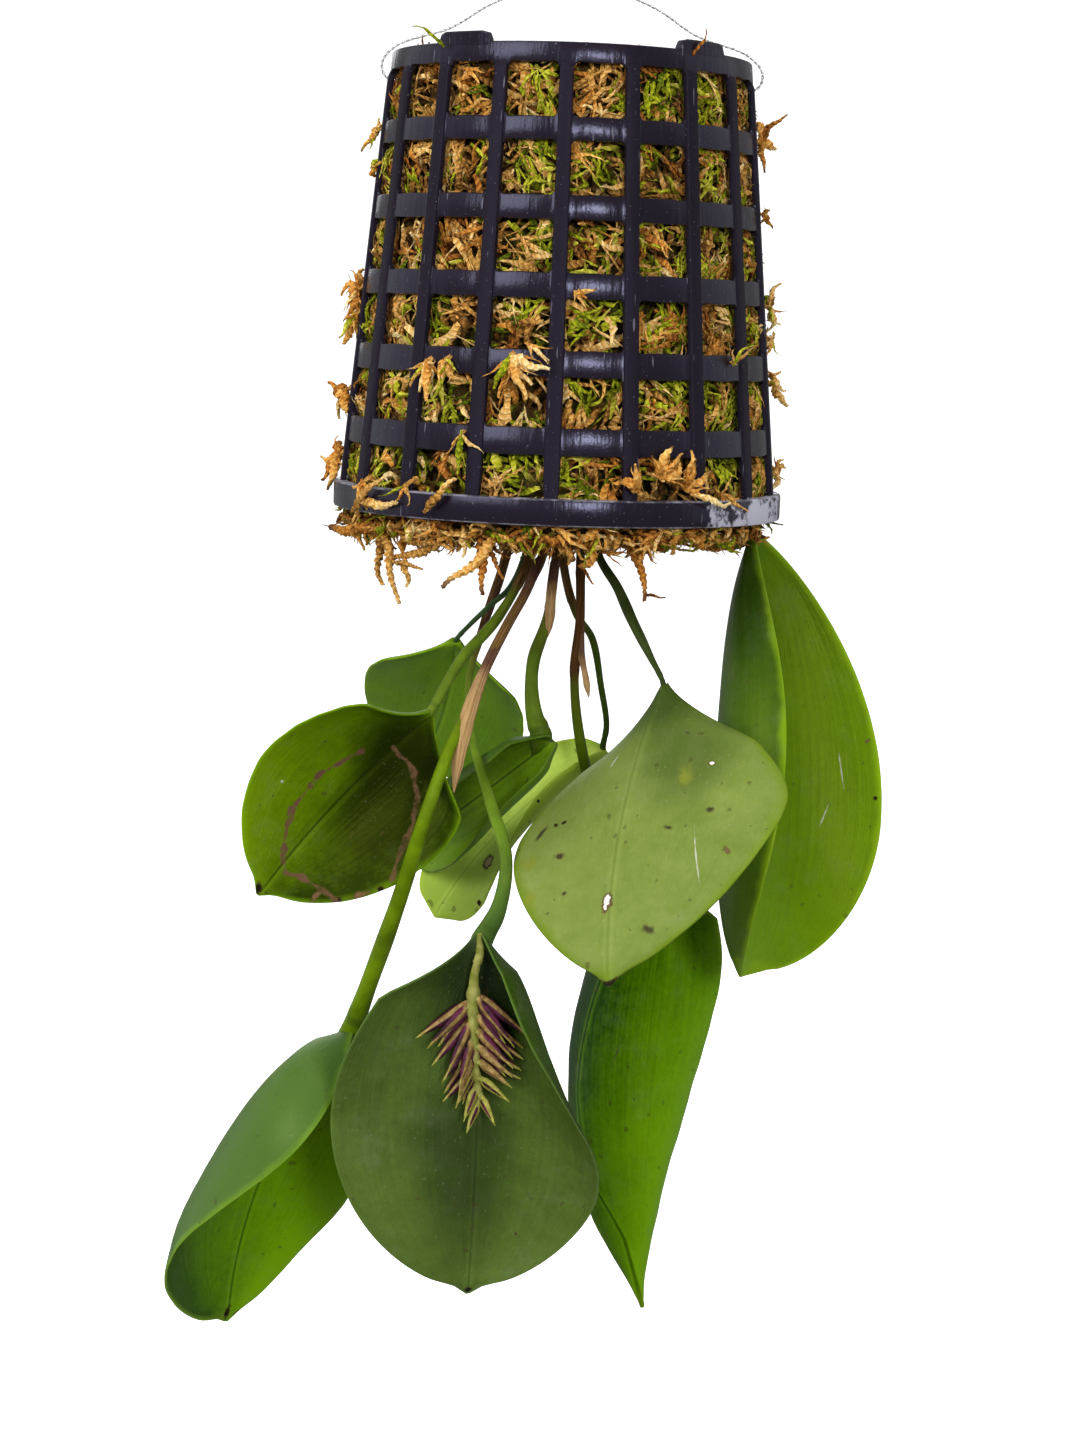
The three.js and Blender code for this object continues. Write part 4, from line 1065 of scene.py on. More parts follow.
def paintWeal(made, flat, place, colour, line):
    # nearest distance to the line's stretches
    wander = made.noise(place, 300, 3, 0.6)
    nearest = None
    for (ax, ay), (bx, by) in zip(line, line[1:]):
        long = hypot(bx - ax, by - ay)
        moved = made.add("VectorMath", {0: flat, 1: (ax, ay, 0)}, operation="SUBTRACT")
        turned = made.turned(moved, -atan2(by - ay, bx - ax))
        along, aside, _ = made.split(turned)
        past = made.minus(along, long)
        beyond = made.most(made.most(past, made.times(along, -1)), 0)
        across = made.plus(made.math("ABSOLUTE", aside), beyond)
        nearest = across if nearest is None else made.math("MINIMUM", nearest, across)
    nearest = made.wobble(nearest, wander, 0.3)
    faded = made.band(made.noise(place, 420, 3, 0.65), 0.3, 0.55, (0.2, 1))
    share = made.times(made.band(nearest, 0.07, 0.015), faded)
    return made.colour(share, colour, (0.135, 0.062, 0.04))


def leafRim(name, look):
    made = Finish(f"{name} leaf, margin", 0.5, 0.4, look["tint"])
    worn = made.noise(made.coordinates, 420, 3)
    made.paint(made.colour(made.band(worn, 0.35, 0.75), look["rim"], tuple(0.6 * c for c in look["rim"])))
    made.bump((worn, 0.0001))
    return made.material


for number, (name, leaf) in enumerate(leaves.items()):
    look = {**usualLook, **leafLooks[name]}
    finishes = [leafSkin(name, "outer", look), leafSkin(name, "inner", look), leafRim(name, look)]
    settle(makeBlade(name, leaf, number, finishes), "leaf_" + name)
print("leaves made")

# Stems: slender, brown and sheathed above, green and flattened below, with a ring at the leaf's joint

stems = {
    "flower": {
        "path": [
            (-8, 7, -107), (-9.5, 7, -121), (-13.8, 6, -136.3), (-16.7, 0, -149), (-15.3, -10, -158.5),
            (-11, -21, -169.5), (-7.4, -28, -179.6), (-8.6, -30, -189.3), (-11.6, -30.5, -195.5),
        ],
        "sizes": ((0, 0.8), (0.38, 0.72), (0.5, 0.62), (0.75, 1.3), (0.9, 1.35), (0.97, 1.9), (1, 2.7)),
        "flat": 0.5, "brownTo": 0.36, "green": (0.13, 0.225, 0.015), "end": (0.045, 0.1, 0.02),
    },
    "upperLeft": {
        "path": [(-5, -2, -107), (-5.8, -2.6, -121), (-8.9, -0.6, -129), (-13, 1.6, -133.1), (-19.6, 6, -140.6)],
        "sizes": ((0, 0.65), (0.5, 0.65), (0.8, 0.52), (1, 0.5)),
        "flat": 0.8, "brownTo": 0.3, "green": (0.045, 0.09, 0.035),
    },
    "left": {
        "path": [
            (-3, -3, -107), (-4.6, -5, -121), (-10.8, -8.5, -134), (-17.6, -14, -142), (-21.4, -17, -148.5),
            (-23.4, -18, -152.3),
        ],
        "sizes": ((0, 0.75), (0.35, 0.85), (0.65, 1.15), (0.88, 1), (1, 0.95)),
        "flat": 0.75, "brownTo": 0.42, "green": (0.11, 0.18, 0.012),
    },
    "lowerLeft": {
        "path": [
            (0, -5, -107), (-2, -9.5, -120), (-5.3, -13, -128), (-9, -16, -135), (-13.1, -20, -143.5),
            (-17.1, -25, -153.5), (-19.8, -29, -160), (-24, -32, -173.6), (-28, -28, -188), (-33.3, -19, -205),
            (-38.2, -13, -219.5),
        ],
        "sizes": ((0, 0.7), (0.35, 0.8), (0.55, 1.35), (0.8, 1.75), (0.93, 1.8), (1, 2.2)),
        "flat": 0.7, "brownTo": 0.3, "green": (0.125, 0.21, 0.002),
    },
    "centre": {
        "path": [
            (1, 0, -107), (0.4, 0, -121), (-1, -2, -134.7), (-3.5, -5, -143), (-3.7, -7, -149),
            (-2.9, -8, -154), (-1.5, -8.2, -158),
        ],
        "sizes": ((0, 0.75), (0.45, 0.8), (0.62, 1.3), (0.82, 1.35), (0.93, 1.8), (1, 2.5)),
        "flat": 0.5, "brownTo": 0.5, "green": (0.07, 0.12, 0.006), "ring": 0.12, "onward": (4, 6.5, 9.5),
    },
    "hindCentre": {
        "path": [
            (3, 5, -107), (1.6, 6, -121.5), (4.8, 8, -134.5), (8.3, 9, -139.7), (10.6, 11, -150),
            (12.1, 13, -158.5), (11.6, 14, -162.5),
        ],
        "sizes": ((0, 0.72), (0.3, 0.75), (0.55, 0.78), (0.85, 0.65), (1, 0.65)),
        "flat": 0.8, "brownTo": 0.45, "green": (0.035, 0.07, 0.008),
    },
    "lowerRight": {
        "path": [
            (5, -2, -107), (5.2, -2, -121), (5.6, 0, -135), (4.9, 2, -146.5), (6.3, 4, -159),
            (9.5, 6, -171), (16, 7, -183), (22.5, 7, -190),
        ],
        "sizes": ((0, 0.75), (0.3, 0.78), (0.5, 0.95), (0.72, 1.25), (1, 1.35)), "flat": 0.75, "brownTo": 0.46,
        "dry": ((0.028, 0.01, 0.004), (0.115, 0.04, 0.014)),
        "green": (0.055, 0.1, 0.001),
    },
    "frontRight": {
        "path": [
            (8, -5, -107), (8.6, -7, -120.5), (12.8, -11, -127.3), (15.8, -15, -133.2), (19.4, -19, -139.6),
            (22.1, -22, -144.6),
        ],
        "sizes": ((0, 0.75), (0.3, 0.8), (0.6, 1.1), (0.75, 1), (0.93, 0.55), (1, 0.52)),
        "flat": 0.8, "brownTo": 0.1, "green": (0.035, 0.055, 0.012),
    },
    "right": {
        "path": [(24, 11, -107), (28, 13, -115.5), (32, 14, -119.4), (36.6, 13, -119.8), (40.3, 10.5, -118.2)],
        "sizes": ((0, 0.85), (1, 1.15)), "flat": 0.8, "brownTo": 0.1, "green": (0.06, 0.11, 0.008),
    },
}


def stemSize(stem, t):
    near = [np.interp(t + step, *zip(*stem["sizes"])) for step in (-0.05, -0.02, 0, 0.02, 0.05)]
    wide = float(np.mean(near))
    return wide, wide * mix(0.95, stem["flat"], smooth(t * 1.5))


def makeStem(name, stem, seed):
    # the stem runs on into its leaf and thins out along the midrib
    spine = leafSpine(leaves[name])
    length = leaves[name]["length"]
    onward = []
    for far, lift in zip(stem.get("onward", (1, 3, 6, 9.5)), (0.1, 0.3, 0.35, 0.2)):
        centre, _, inner, _ = spine[round(far / length * 240)]
        onward.append(centre - inner * lift)
    own = smoothPath(stem["path"], 90)
    path = smoothPath([*stem["path"], *onward], 120)
    reach = [np.linalg.norm(np.diff(line, axis=0), axis=1).sum() for line in (own, path)]
    joint = reach[0] / reach[1]
    brown = stem["brownTo"]

    def size(t):
        t = t / joint
        wide, deep = stemSize(stem, min(t, 1))
        if t > 1:
            onto = (t - 1) / (1 / joint - 1)
            return mix(wide, 0.3, smooth(onto * 1.05)), mix(deep, 0.15, smooth(onto * 1.15))
        # an old sheath on the brown part, and a ring at the joint with the leaf
        sheath = 0.14 * smooth((brown - t) / 0.015)
        node = 0.12 * exp(-(((t - brown * 0.45) / 0.012) ** 2))
        ring = stem.get("ring", 0.05)
        seam = ring * exp(-(((t - 0.955) / 0.01) ** 2)) - 0.8 * ring * exp(-(((t - 0.975) / 0.007) ** 2))
        ends = mix(0.55, 1, smooth(t / 0.02))
        more = sheath + node + seam
        return (wide + more) * ends, (deep + more) * ends

    def ripple(t, a):
        ribs = 0.035 * sin(5 * a + seed) * smooth((brown - t) / 0.05 + 0.4)
        return ribs + 0.02 * sin(40 * t + seed) - 0.05 * exp(-(((a - 4.7) / 0.6) ** 2)) * smooth(t * 2 - 0.6)

    points, faces, uv = tubeMesh(path, size, 16, ripple)
    piece = newPiece("stem_" + name + "_skin", points, faces, [(around, t / joint) for around, t in uv])
    smoothShade(piece, 55)
    return piece


def stemSkin(name, stem, seed):
    made = Finish(f"{name} stem", 0.42, 0.22, (0.75, 0.95, 0.25))
    _, around, along = made.uv("lengthways")
    place = made.coordinates
    brown = stem["brownTo"]
    drift = made.noise(place, 160, 3)
    lines = made.add("CombineXYZ", {0: made.times(around, 26), 1: made.times(along, 9), 2: float(seed)})
    fibres = made.noise(lines, 1, 3, 0.7)
    green = made.colour(made.band(drift, 0.3, 0.7), *(tuple(c * k for c in stem["green"]) for k in (0.7, 1.25)))
    dry = made.colour(made.band(fibres, 0.35, 0.68), *stem.get("dry", ((0.05, 0.02, 0.008), (0.24, 0.125, 0.045))))
    at = made.wobble(along, fibres, 0.07)
    husk = made.band(at, brown + 0.03, brown - 0.03)
    if "end" in stem:
        green = made.colour(made.band(along, 0.72, 0.98, (0, 0.9)), green, stem["end"])
    # stained brown just below the sheath
    stained = made.times(made.band(at, brown + 0.22, brown), 0.55)
    colour = made.colour(stained, green, (0.085, 0.07, 0.012))
    colour = made.colour(husk, colour, dry)
    joint = made.band(made.math("ABSOLUTE", made.minus(along, 0.972)), 0.012, 0.003)
    colour = made.over(colour, joint, 0.5, (0.04, 0.075, 0.01))
    made.paint(colour)
    made.put("Roughness", made.band(husk, 0, 1, (0.4, 0.75)))
    made.bump((fibres, 0.00014), (made.noise(place, 1800, 2), 0.00004))
    return made.material


for number, (name, stem) in enumerate(stems.items()):
    settle(makeStem(name, stem, number), "stem_" + name, stemSkin(name, stem, number))
print("stems made")

# Dry bracts round the upper stems, each with a free pointed tip

bracts = {
    "lowerLeft": {
        "path": [
            (-3.1, -11, -122), (-5.3, -13, -128), (-9, -16, -135), (-12.8, -20, -143), (-15.6, -24, -151),
            (-17, -26.5, -157), (-17.6, -28, -162), (-18, -29, -166.5),
        ],
        "sizes": ((0, 0.95), (0.5, 1), (0.62, 1.35), (0.78, 1.6), (0.9, 1.1), (1, 0.15)), "flat": 0.6, "old": 0.5,
    },
    "flower": {
        "path": [(-9.7, 7, -122), (-11.5, 6.9, -129), (-13.8, 6, -136.3), (-15.2, 4.4, -141.5)],
        "sizes": ((0, 0.92), (0.6, 0.92), (0.85, 0.8), (1, 0.15)), "flat": 0.8, "old": 0.85,
    },
    "centre": {
        "path": [(0.1, -0.5, -123), (-0.5, -1.6, -130), (-0.6, -2.6, -135), (-0.9, -3, -138.5)],
        "sizes": ((0, 0.9), (0.35, 0.98), (0.7, 1.05), (0.88, 0.7), (1, 0.12)), "flat": 0.75, "old": 0.3,
    },
    "lowerRight": {
        "path": [(5.2, -1.9, -122), (5.6, -0.2, -133), (5.9, 0.8, -141), (7.2, 1.2, -147), (8, 1, -151)],
        "sizes": ((0, 0.92), (0.62, 0.92), (0.8, 0.62), (0.92, 0.75), (1, 0.15)), "flat": 0.7, "old": 0.76,
    },
}


def makeBract(name, bract, seed):
    def size(t):
        wide = float(np.interp(t, *zip(*bract["sizes"]))) * mix(0.8, 1, smooth(t / 0.04))
        return wide, max(wide * mix(0.95, bract["flat"], smooth(t * 2)), 0.12)

    def ripple(t, a):
        folds = 0.05 * sin(4 * a + seed + 2 * t) + 0.03 * sin(11 * a + 5 * t)
        # the wrapped edges overlap
        lap = 0.1 * (((a - 1.1 - 0.8 * t) % (2 * pi)) / (2 * pi))
        return folds + lap - 0.05

    piece = newPiece("bract_" + name + "_paper", *tubeMesh(smoothPath(bract["path"], 64), size, 36, ripple))
    smoothShade(piece, 60)
    return piece


def dryPaper(name, old):
    made = Finish(f"{name} dry bract", 0.75, 0.2)
    _, around, along = made.uv("lengthways")
    lines = made.add("CombineXYZ", {0: made.times(around, 46), 1: made.times(along, 4), 2: old * 9})
    fibres = made.noise(lines, 1, 3, 0.75)
    broad = made.noise(made.coordinates, 210, 3)
    pale = made.colour(made.band(fibres, 0.32, 0.7), (0.3, 0.15, 0.05), (0.7, 0.47, 0.21))
    dark = made.colour(made.band(fibres, 0.32, 0.7), (0.045, 0.016, 0.01), (0.22, 0.105, 0.055))
    at = made.wobble(along, broad, 0.35)
    made.paint(made.colour(made.band(at, old + 0.16, old - 0.12), pale, dark))
    made.bump((fibres, 0.0003), (broad, 0.0002))
    return made.material


for number, (name, bract) in enumerate(bracts.items()):
    settle(makeBract(name, bract, number), "bract_" + name, dryPaper(name, bract["old"]))
print("bracts made")

# Flower spike in the hollow of the front leaf

spike = {
    "from": 0.02, "to": 0.45, "lift": 2.9, "sway": -1.6, "stalk": (0.6, 1.15, 0.45), "pairs": 7, "firstPair": 0.27,
    "longest": 13.4, "shortest": 7, "halfWidth": 1.2, "rise": 12,
    "spreadLeft": (47, 30, 22, 25, 33, 29, 29), "spreadRight": (46, 43, 45, 50, 56, 53, 27),
}


def repeatable(seed):
    state = seed
    while True:
        state = (state * 1664525 + 1013904223) % 4294967296
        yield state / 4294967296


def flowerPod(foot, aim, out, long, wide, turn, kind):
    # a narrow pod with a slit; kind is 1 for the dark old flowers, 0 for the last ones
    across = unit(np.cross(out, aim))
    out = unit(np.cross(aim, across))
    across, out = (turnAbout(v, aim, turn) for v in (across, out))
    rings, sides = 13, 14
    points, uv, tint = [], [], []
    for i in range(rings):
        t = i / (rings - 1)
        # widest before the middle, with a long point that turns outwards
        swell = mix(0.42, 1, smooth(t * 3.4)) * max(0, 1 - t**1.8) ** 0.95
        centre = foot + aim * long * t + out * (0.5 * 4 * t * (1 - t) * 0.55 + 0.9 * t**3)
        for k in range(sides):
            a = 2 * pi * k / sides
            ridge = 1 + 0.16 * cos(2 * a) + 0.1 * exp(-(((a - pi / 2) / 0.35) ** 2))
            slit = 0.3 * exp(-(((a - 3.9) / 0.3) ** 2)) * smooth(t * 4) * smooth((1 - t) * 5)
            radius = max(wide * swell * (ridge - slit), 0.07)
            points.append(centre + across * radius * cos(a) * 0.95 + out * radius * sin(a) * 0.85)
            uv.append((k / sides, t))
            keel = exp(-(((a - pi / 2) / 0.75) ** 2))
            dark = kind * (1 - keel) * smooth(t * 3 + 0.1) * smooth((1 - t) * 3.5) + 3 * slit * (0.4 + kind)
            # young flowers have a maroon stripe in front
            stripe = exp(-(((a - pi / 2) / 0.5) ** 2)) * smooth(t * 5) * smooth((0.92 - t) * 4)
            dark = min(1, dark + stripe * max(0, 0.85 - kind))
            tint.append((dark, t, kind))
    return points, tubeFaces(rings, sides), uv, tint


def makeSpike():
    leaf = leaves["flower"]
    spine = leafSpine(leaf)

    def onMidrib(u):
        r = min(39, max(1, round(u * 40))) / 40
        u = mix(r, (1 - cos(pi * r)) / 2, 0.6)
        place, outward, _ = leafPoint(leaf, spine, u, 0.0001)
        return place - outward * spike["lift"]

    joints = []
    for t in (0, 0.2, 0.4, 0.6, 0.8, 1):
        place = onMidrib(mix(spike["from"], spike["to"], t))
        place[0] += spike["sway"] * sin(pi * t)
        joints.append(place)
    line = smoothPath(joints, 200)
    directions = np.gradient(line, axis=0)
    foot, first, tip = spike["stalk"]

    def stalkSize(t):
        r = mix(foot, first, t / 0.3) if t < 0.3 else mix(first, tip, (t - 0.3) / 0.7)
        # a small swelling where each flower leaves
        beads = 0.3 * abs(sin(pi * spike["pairs"] * (t - 0.22) / 0.76)) ** 1.5 if t > 0.22 else 0
        return r + beads, r + beads

    # the stalk comes out of the joint of stem and leaf
    heel = [spine[0][0] - spine[0][3] * 2.5 + spine[0][2] * 0.3, spine[2][0] + spine[2][2] * 1.3]
    neck = smoothPath([*heel, line[6], line[14]], 16)

    parts, tints = [], []
    for route, size in ((line[::2], stalkSize), (neck, lambda t: (mix(0.7, 0.9, t),) * 2)):
        stalk = tubeMesh(route, size, 14, lambda t, a: 0.05 * sin(3 * a + 30 * t) + 0.03 * sin(7 * a - 50 * t))
        parts.append(stalk)
        tints += [(0, 2, 0)] * len(stalk[0])
    random = repeatable(7)
    extra = np.random.default_rng(5)
    across = np.array([1.0, 0.0, 0.0])
    for i in range(spike["pairs"]):
        for side in (-1, 1):
            along = (i + (0.45 if side < 0 else 0)) / (spike["pairs"] - 0.55)
            at = mix(spike["firstPair"], 0.98, along)
            index = min(199, round(at * 199))
            start, down = line[index], unit(directions[index])
            out = unit(np.cross(across, down))
            if out[1] > 0:
                out = -out
            spread = spike["spreadLeft"] if side < 0 else spike["spreadRight"]
            spread = radians(spread[i] + mix(-2, 2, next(random)))
            rise = radians(spike["rise"] * mix(0.4, 1.6, next(random)))
            # spread as seen from the front; in depth it follows the stalk
            fall = unit(down * (1, 0, 1))
            aim = fall * cos(spread) + np.array([-fall[2], 0, fall[0]]) * side * sin(spread)
            aim[1] = down[1] / hypot(down[0], down[2]) * -aim[2]
            aim = unit(unit(aim) + out * tan(rise))
            long = mix(spike["longest"], spike["shortest"], along)
            kind = smooth(1.15 - along * 1.25)
            wide = spike["halfWidth"] * mix(1, 0.85, along)
            turn = side * mix(38, 15, along) + extra.uniform(-12, 12)
            pod = flowerPod(start + aim * 0.6, aim, out, long - 0.6, wide, turn, kind)
            parts.append(pod[:3])
            tints += pod[3]
            # pale bract and ovary at the foot
            cup = smoothPath([start, start + aim * 0.9 + out * 0.3, start + aim * 2.4 + out * 0.55], 7)
            scale = tubeMesh(cup, lambda t: (0.62 * (1 - t) ** 0.5 + 0.12, 0.4 * (1 - t) + 0.08), 7)
            parts.append(scale)
            tints += [(0, 2, 0.4)] * len(scale[0])
            if i < 5:
                # two darker flowers behind
                for share, place, aside in ((1, 0.7, 0.22), (0.85, 1.2, -0.25)):
                    back = unit(aim - out * 0.12 + across * side * aside)
                    foot = start + back * 0.5 - out * place
                    pod = flowerPod(foot, back, out, long * share, wide * 1.15, -turn, 1.25)
                    parts.append(pod[:3])
                    tints += pod[3]
    piece = newPiece("flowers", *joined(parts))
    giveColour(piece.data, "flowerTint", tints)
    smoothShade(piece, 65)
    return piece


def petalSkin():
    made = Finish("maroon and straw flowers on a pale stalk", 0.55, 0.2)
    dark, along, kind = made.tint("flowerTint")
    _, around, _ = made.uv("lengthways")
    place = made.coordinates
    grain = made.noise(place, 900, 3, 0.6)
    broad = made.noise(place, 380, 2)
    straw = made.colour(made.band(grain, 0.3, 0.7), (0.17, 0.095, 0.025), (0.42, 0.29, 0.095))
    greenish = made.colour(made.band(grain, 0.3, 0.7), (0.2, 0.2, 0.02), (0.42, 0.39, 0.08))
    tip = made.band(along, 0.72, 0.98)
    light = made.colour(made.most(tip, made.band(kind, 0.35, 0.1)), straw, greenish)
    maroon = made.colour(made.band(broad, 0.35, 0.7), (0.02, 0.003, 0.007), (0.1, 0.011, 0.046))
    share = made.band(made.wobble(dark, grain, 0.5), 0.3, 0.62)
    colour = made.colour(share, light, maroon)
    stalk = made.colour(made.band(broad, 0.3, 0.7), (0.165, 0.185, 0.02), (0.33, 0.33, 0.085))
    colour = made.colour(made.band(along, 1.4, 1.6), colour, stalk)
    made.paint(colour)
    made.bump((grain, 0.00012), (made.noise(place, 2400, 1), 0.00004))
    return made.material


settle(makeSpike(), "flower_spike", petalSkin())
print("flowers made")

# Moss: a core of moss darkened as painted shade, and thousands of sphagnum branchlets of a few kinds

mossLook = {
    "strawCount": 3650,
    "greenCount": 3900,
    "underCount": 3000,
    "mouthCount": 1100,
    "topCount": 450,
    "fringeCount": 1300,
    "fingerCount": 170,
    # green patches: angle from the front, height above the mouth, reach in mm, strength
    "greenPatches": [
        (-38, 12, 14, 0.9), (-15, 12, 12, 0.8), (-35, 28, 13, 0.8), (-52, 28, 10, 0.7), (-40, 42, 12, 0.7),
        (12, 40, 12, 0.7), (30, 42, 14, 0.8), (34, 26, 12, 0.8), (50, 24, 12, 0.9), (56, 12, 12, 0.9),
        (-8, 56, 12, 0.8), (55, 56, 10, 0.8), (-10, 70, 11, 0.8), (10, 68, 10, 0.5), (46, 68, 12, 0.6),
        (30, 81, 11, 1), (50, 80, 10, 0.9), (-30, 10, 10, 0.8), (16, 12, 8, 0.5), (-12, 84, 5, 0.4),
        (10, 26, 10, 0.7), (-10, 40, 10, 0.6), (66, 40, 12, 0.7), (-62, 14, 12, 0.7), (30, 55, 10, 0.7),
    ],
}
bands = ringBands()


def plasticDistance(angle, z, radius):
    # how far a place on the wall is from the nearest rib or ring, in mm; negative behind one
    pitch = 360 / pot["ribs"]
    off = np.abs((angle - pot["firstRib"] + pitch / 2) % pitch - pitch / 2)
    toRib = np.radians(off) * radius - 1.6
    toRing = np.full_like(z, 99)
    for low, high in bands:
        middle, half = (low + high) / 2, (high - low) / 2
        toRing = np.minimum(toRing, np.abs(z - middle) - half)
    return np.minimum(toRib, toRing)


def farOut(points):
    return np.hypot(points[..., 0], points[..., 1])


def keepBehindWall(points):
    # moss stays behind the ribs and rings and swells out in the openings
    angle = np.degrees(np.arctan2(points[..., 0], -points[..., 1]))
    radius = farOut(points)
    z = points[..., 2]
    room = np.clip(plasticDistance(angle, z, radius) + 0.15, 0, 3.4)
    allowed = wallRadius(z) - 1.75 + room * 0.78
    over = radius - (allowed - 1.1)
    pressed = np.where(over > 0, allowed - 1.1 * np.exp(-over / 1.1), radius)
    inside = z > potMouth - 0.3
    share = np.where(inside, pressed / np.maximum(radius, 1e-6), 1)
    made = points.copy()
    made[..., :2] *= share[..., None]
    return made


def strandKinds(random, count, rings, sides=4, flare=0.2, crook=1.2, slim=0.12):
    # a crooked, tapering strand whose corners stand out by turns like small scale leaves
    kinds = []
    for _ in range(count):
        phase = random.uniform(0, 6.28, 4)
        points, corners = [], []
        for j in range(rings):
            t = j / (rings - 1)
            body = mix(0.5, 1, smooth(t * 4)) * mix(1, slim, smooth((t - 0.3) / 0.7))
            shift = crook * smooth(t * 2)
            y = shift * (0.6 * sin(4 * t + phase[0]) + 0.4 * sin(9 * t + phase[1]))
            z = shift * (0.6 * sin(4.4 * t + phase[2]) + 0.4 * sin(8 * t + phase[3]))
            for s in range(sides):
                a = 2 * pi * s / sides + 0.3 * j
                r = body * (1 + flare * (1 if (s + j) % 2 else -0.6)) * random.uniform(0.88, 1.12)
                ahead = 0.35 / rings if (s + j) % 2 else -0.1 / rings
                points.append((t + ahead * (0 < j < rings - 1), y + r * cos(a), z + r * sin(a)))
                corners.append(s % 2)
        faces = tubeFaces(rings, sides)
        if sides == 6:
            # two four-sided faces at each end
            a, b, c, d, e, f = faces.pop()
            faces[-1:] = [(0, 3, 2, 1), (a, b, c, d), (0, 5, 4, 3), (a, d, e, f)]
        kinds.append((np.array(points), faces, np.array(corners)))
    return kinds


def bentCopies(kind, base, aim, up, long, thick, bend):
    # copies of one strand, each laid along its own arc
    template = kind[0]
    t, y, z = (template[None, :, k, None] for k in range(3))
    turn = np.where(np.abs(bend) < 0.05, 0.05, bend)[:, None, None]
    along = np.sin(turn * t) / turn
    rise = (1 - np.cos(turn * t)) / turn
    aim, up = aim[:, None, :], up[:, None, :]
    binormal = np.cross(aim, up)
    centre = base[:, None, :] + (aim * along + up * rise) * long[:, None, None]
    normal = up * np.cos(turn * t) - aim * np.sin(turn * t)
    return centre + (normal * y + binormal * z) * thick[:, None, None]


def oneStrand(kind, *values):
    # values: start, aim, up, long, thick, bend
    return bentCopies(kind, *(np.array([value], float) for value in values))


def addStrand(batches, kind, copies, tint, long, light):
    batches.append((kind, copies, np.array([tint], float), np.array([long]), light))


def laidStrands(kinds, which, base, aim, up, long, thick, bend, tint, pressed):
    # pressed(points) moves the strands to where there is room for them, and gives the light on them
    batches = []
    for k, kind in enumerate(kinds):
        m = which == k
        copies, light = pressed(bentCopies(kind, base[m], aim[m], up[m], long[m], thick[m], bend[m]))
        batches.append((kind, copies, tint[m], long[m], light))
    return batches


def mossPiece(name, batches):
    # batches of kind, and points, tint, length and light of each copy
    points, faces, tints, scales, lights = [], [], [], [], []
    start = 0
    for (template, kindFaces, corners), copies, tint, long, light in batches:
        count, size = copies.shape[0], copies.shape[1]
        if not count:
            continue
        points.append(copies.reshape(-1, 3))
        for width in sorted({len(face) for face in kindFaces}):
            block = np.array([face for face in kindFaces if len(face) == width])
            block = block[None, :, :] + (start + np.arange(count) * size)[:, None, None]
            faces += block.reshape(-1, width).tolist()
        along = np.broadcast_to(template[None, :, 0], (count, size))
        colours = np.stack([np.repeat(tint[:, :1], size, 1), along, np.repeat(tint[:, 1:2], size, 1)], axis=-1)
        tints.append(colours.reshape(-1, 3))
        scale = np.stack([np.broadcast_to(corners[None, :], (count, size)), along * long[:, None]], axis=-1)
        scales.append(scale.reshape(-1, 2))
        shade = np.stack([np.broadcast_to(light, (count, size)), np.repeat(tint[:, 2:3], size, 1)], axis=-1)
        lights.append(shade.reshape(-1, 2))
        start += count * size
    piece = newPiece(name, np.vstack(points), faces)
    giveColour(piece.data, "mossTint", np.vstack(tints))
    giveUv(piece.data, "scales", np.vstack(scales))
    giveUv(piece.data, "light", np.vstack(lights))
    return piece


def depthLight(points):
    # darker the deeper behind the wall
    radius = farOut(points)
    return np.clip((radius - wallRadius(points[..., 2]) + 3.6) / 3.6, 0, 1)


def behindWall(points):
    points = keepBehindWall(points)
    return points, depthLight(points)


def greenShare(angle, height):
    total = np.zeros_like(angle)
    for a, h, reach, strength in mossLook["greenPatches"]:
        away = ((angle - a + 180) % 360 - 180) * 0.7
        total = np.maximum(total, strength * np.exp(-(((away**2 + (height - h) ** 2) / reach**2) * 1.6)))
    # made-up patches on the sides and back
    hidden = np.abs(angle) > 70
    slow = 0.5 + 0.5 * np.sin(angle * 0.16 + 0.07 * height) * np.sin(0.12 * height + angle * 0.05 + 1.3)
    return np.where(hidden, np.clip(slow * 1.4 - 0.25, 0, 0.95), total)


def tangentFrames(angle, heading, tilt):
    # directions on the wall: heading 0 is down, 90 is towards larger angles; tilt leans outwards
    a, h, lift = np.radians(angle), np.radians(heading), np.radians(tilt)
    outward = np.stack([np.sin(a), -np.cos(a), np.zeros_like(a)], axis=-1)
    sideways = np.stack([np.cos(a), np.sin(a), np.zeros_like(a)], axis=-1)
    down = np.array([0.0, 0.0, -1.0])
    flat = down * np.cos(h)[:, None] + sideways * np.sin(h)[:, None]
    aim = flat * np.cos(lift)[:, None] + outward * np.sin(lift)[:, None]
    up = outward * np.cos(lift)[:, None] - flat * np.sin(lift)[:, None]
    return aim, up


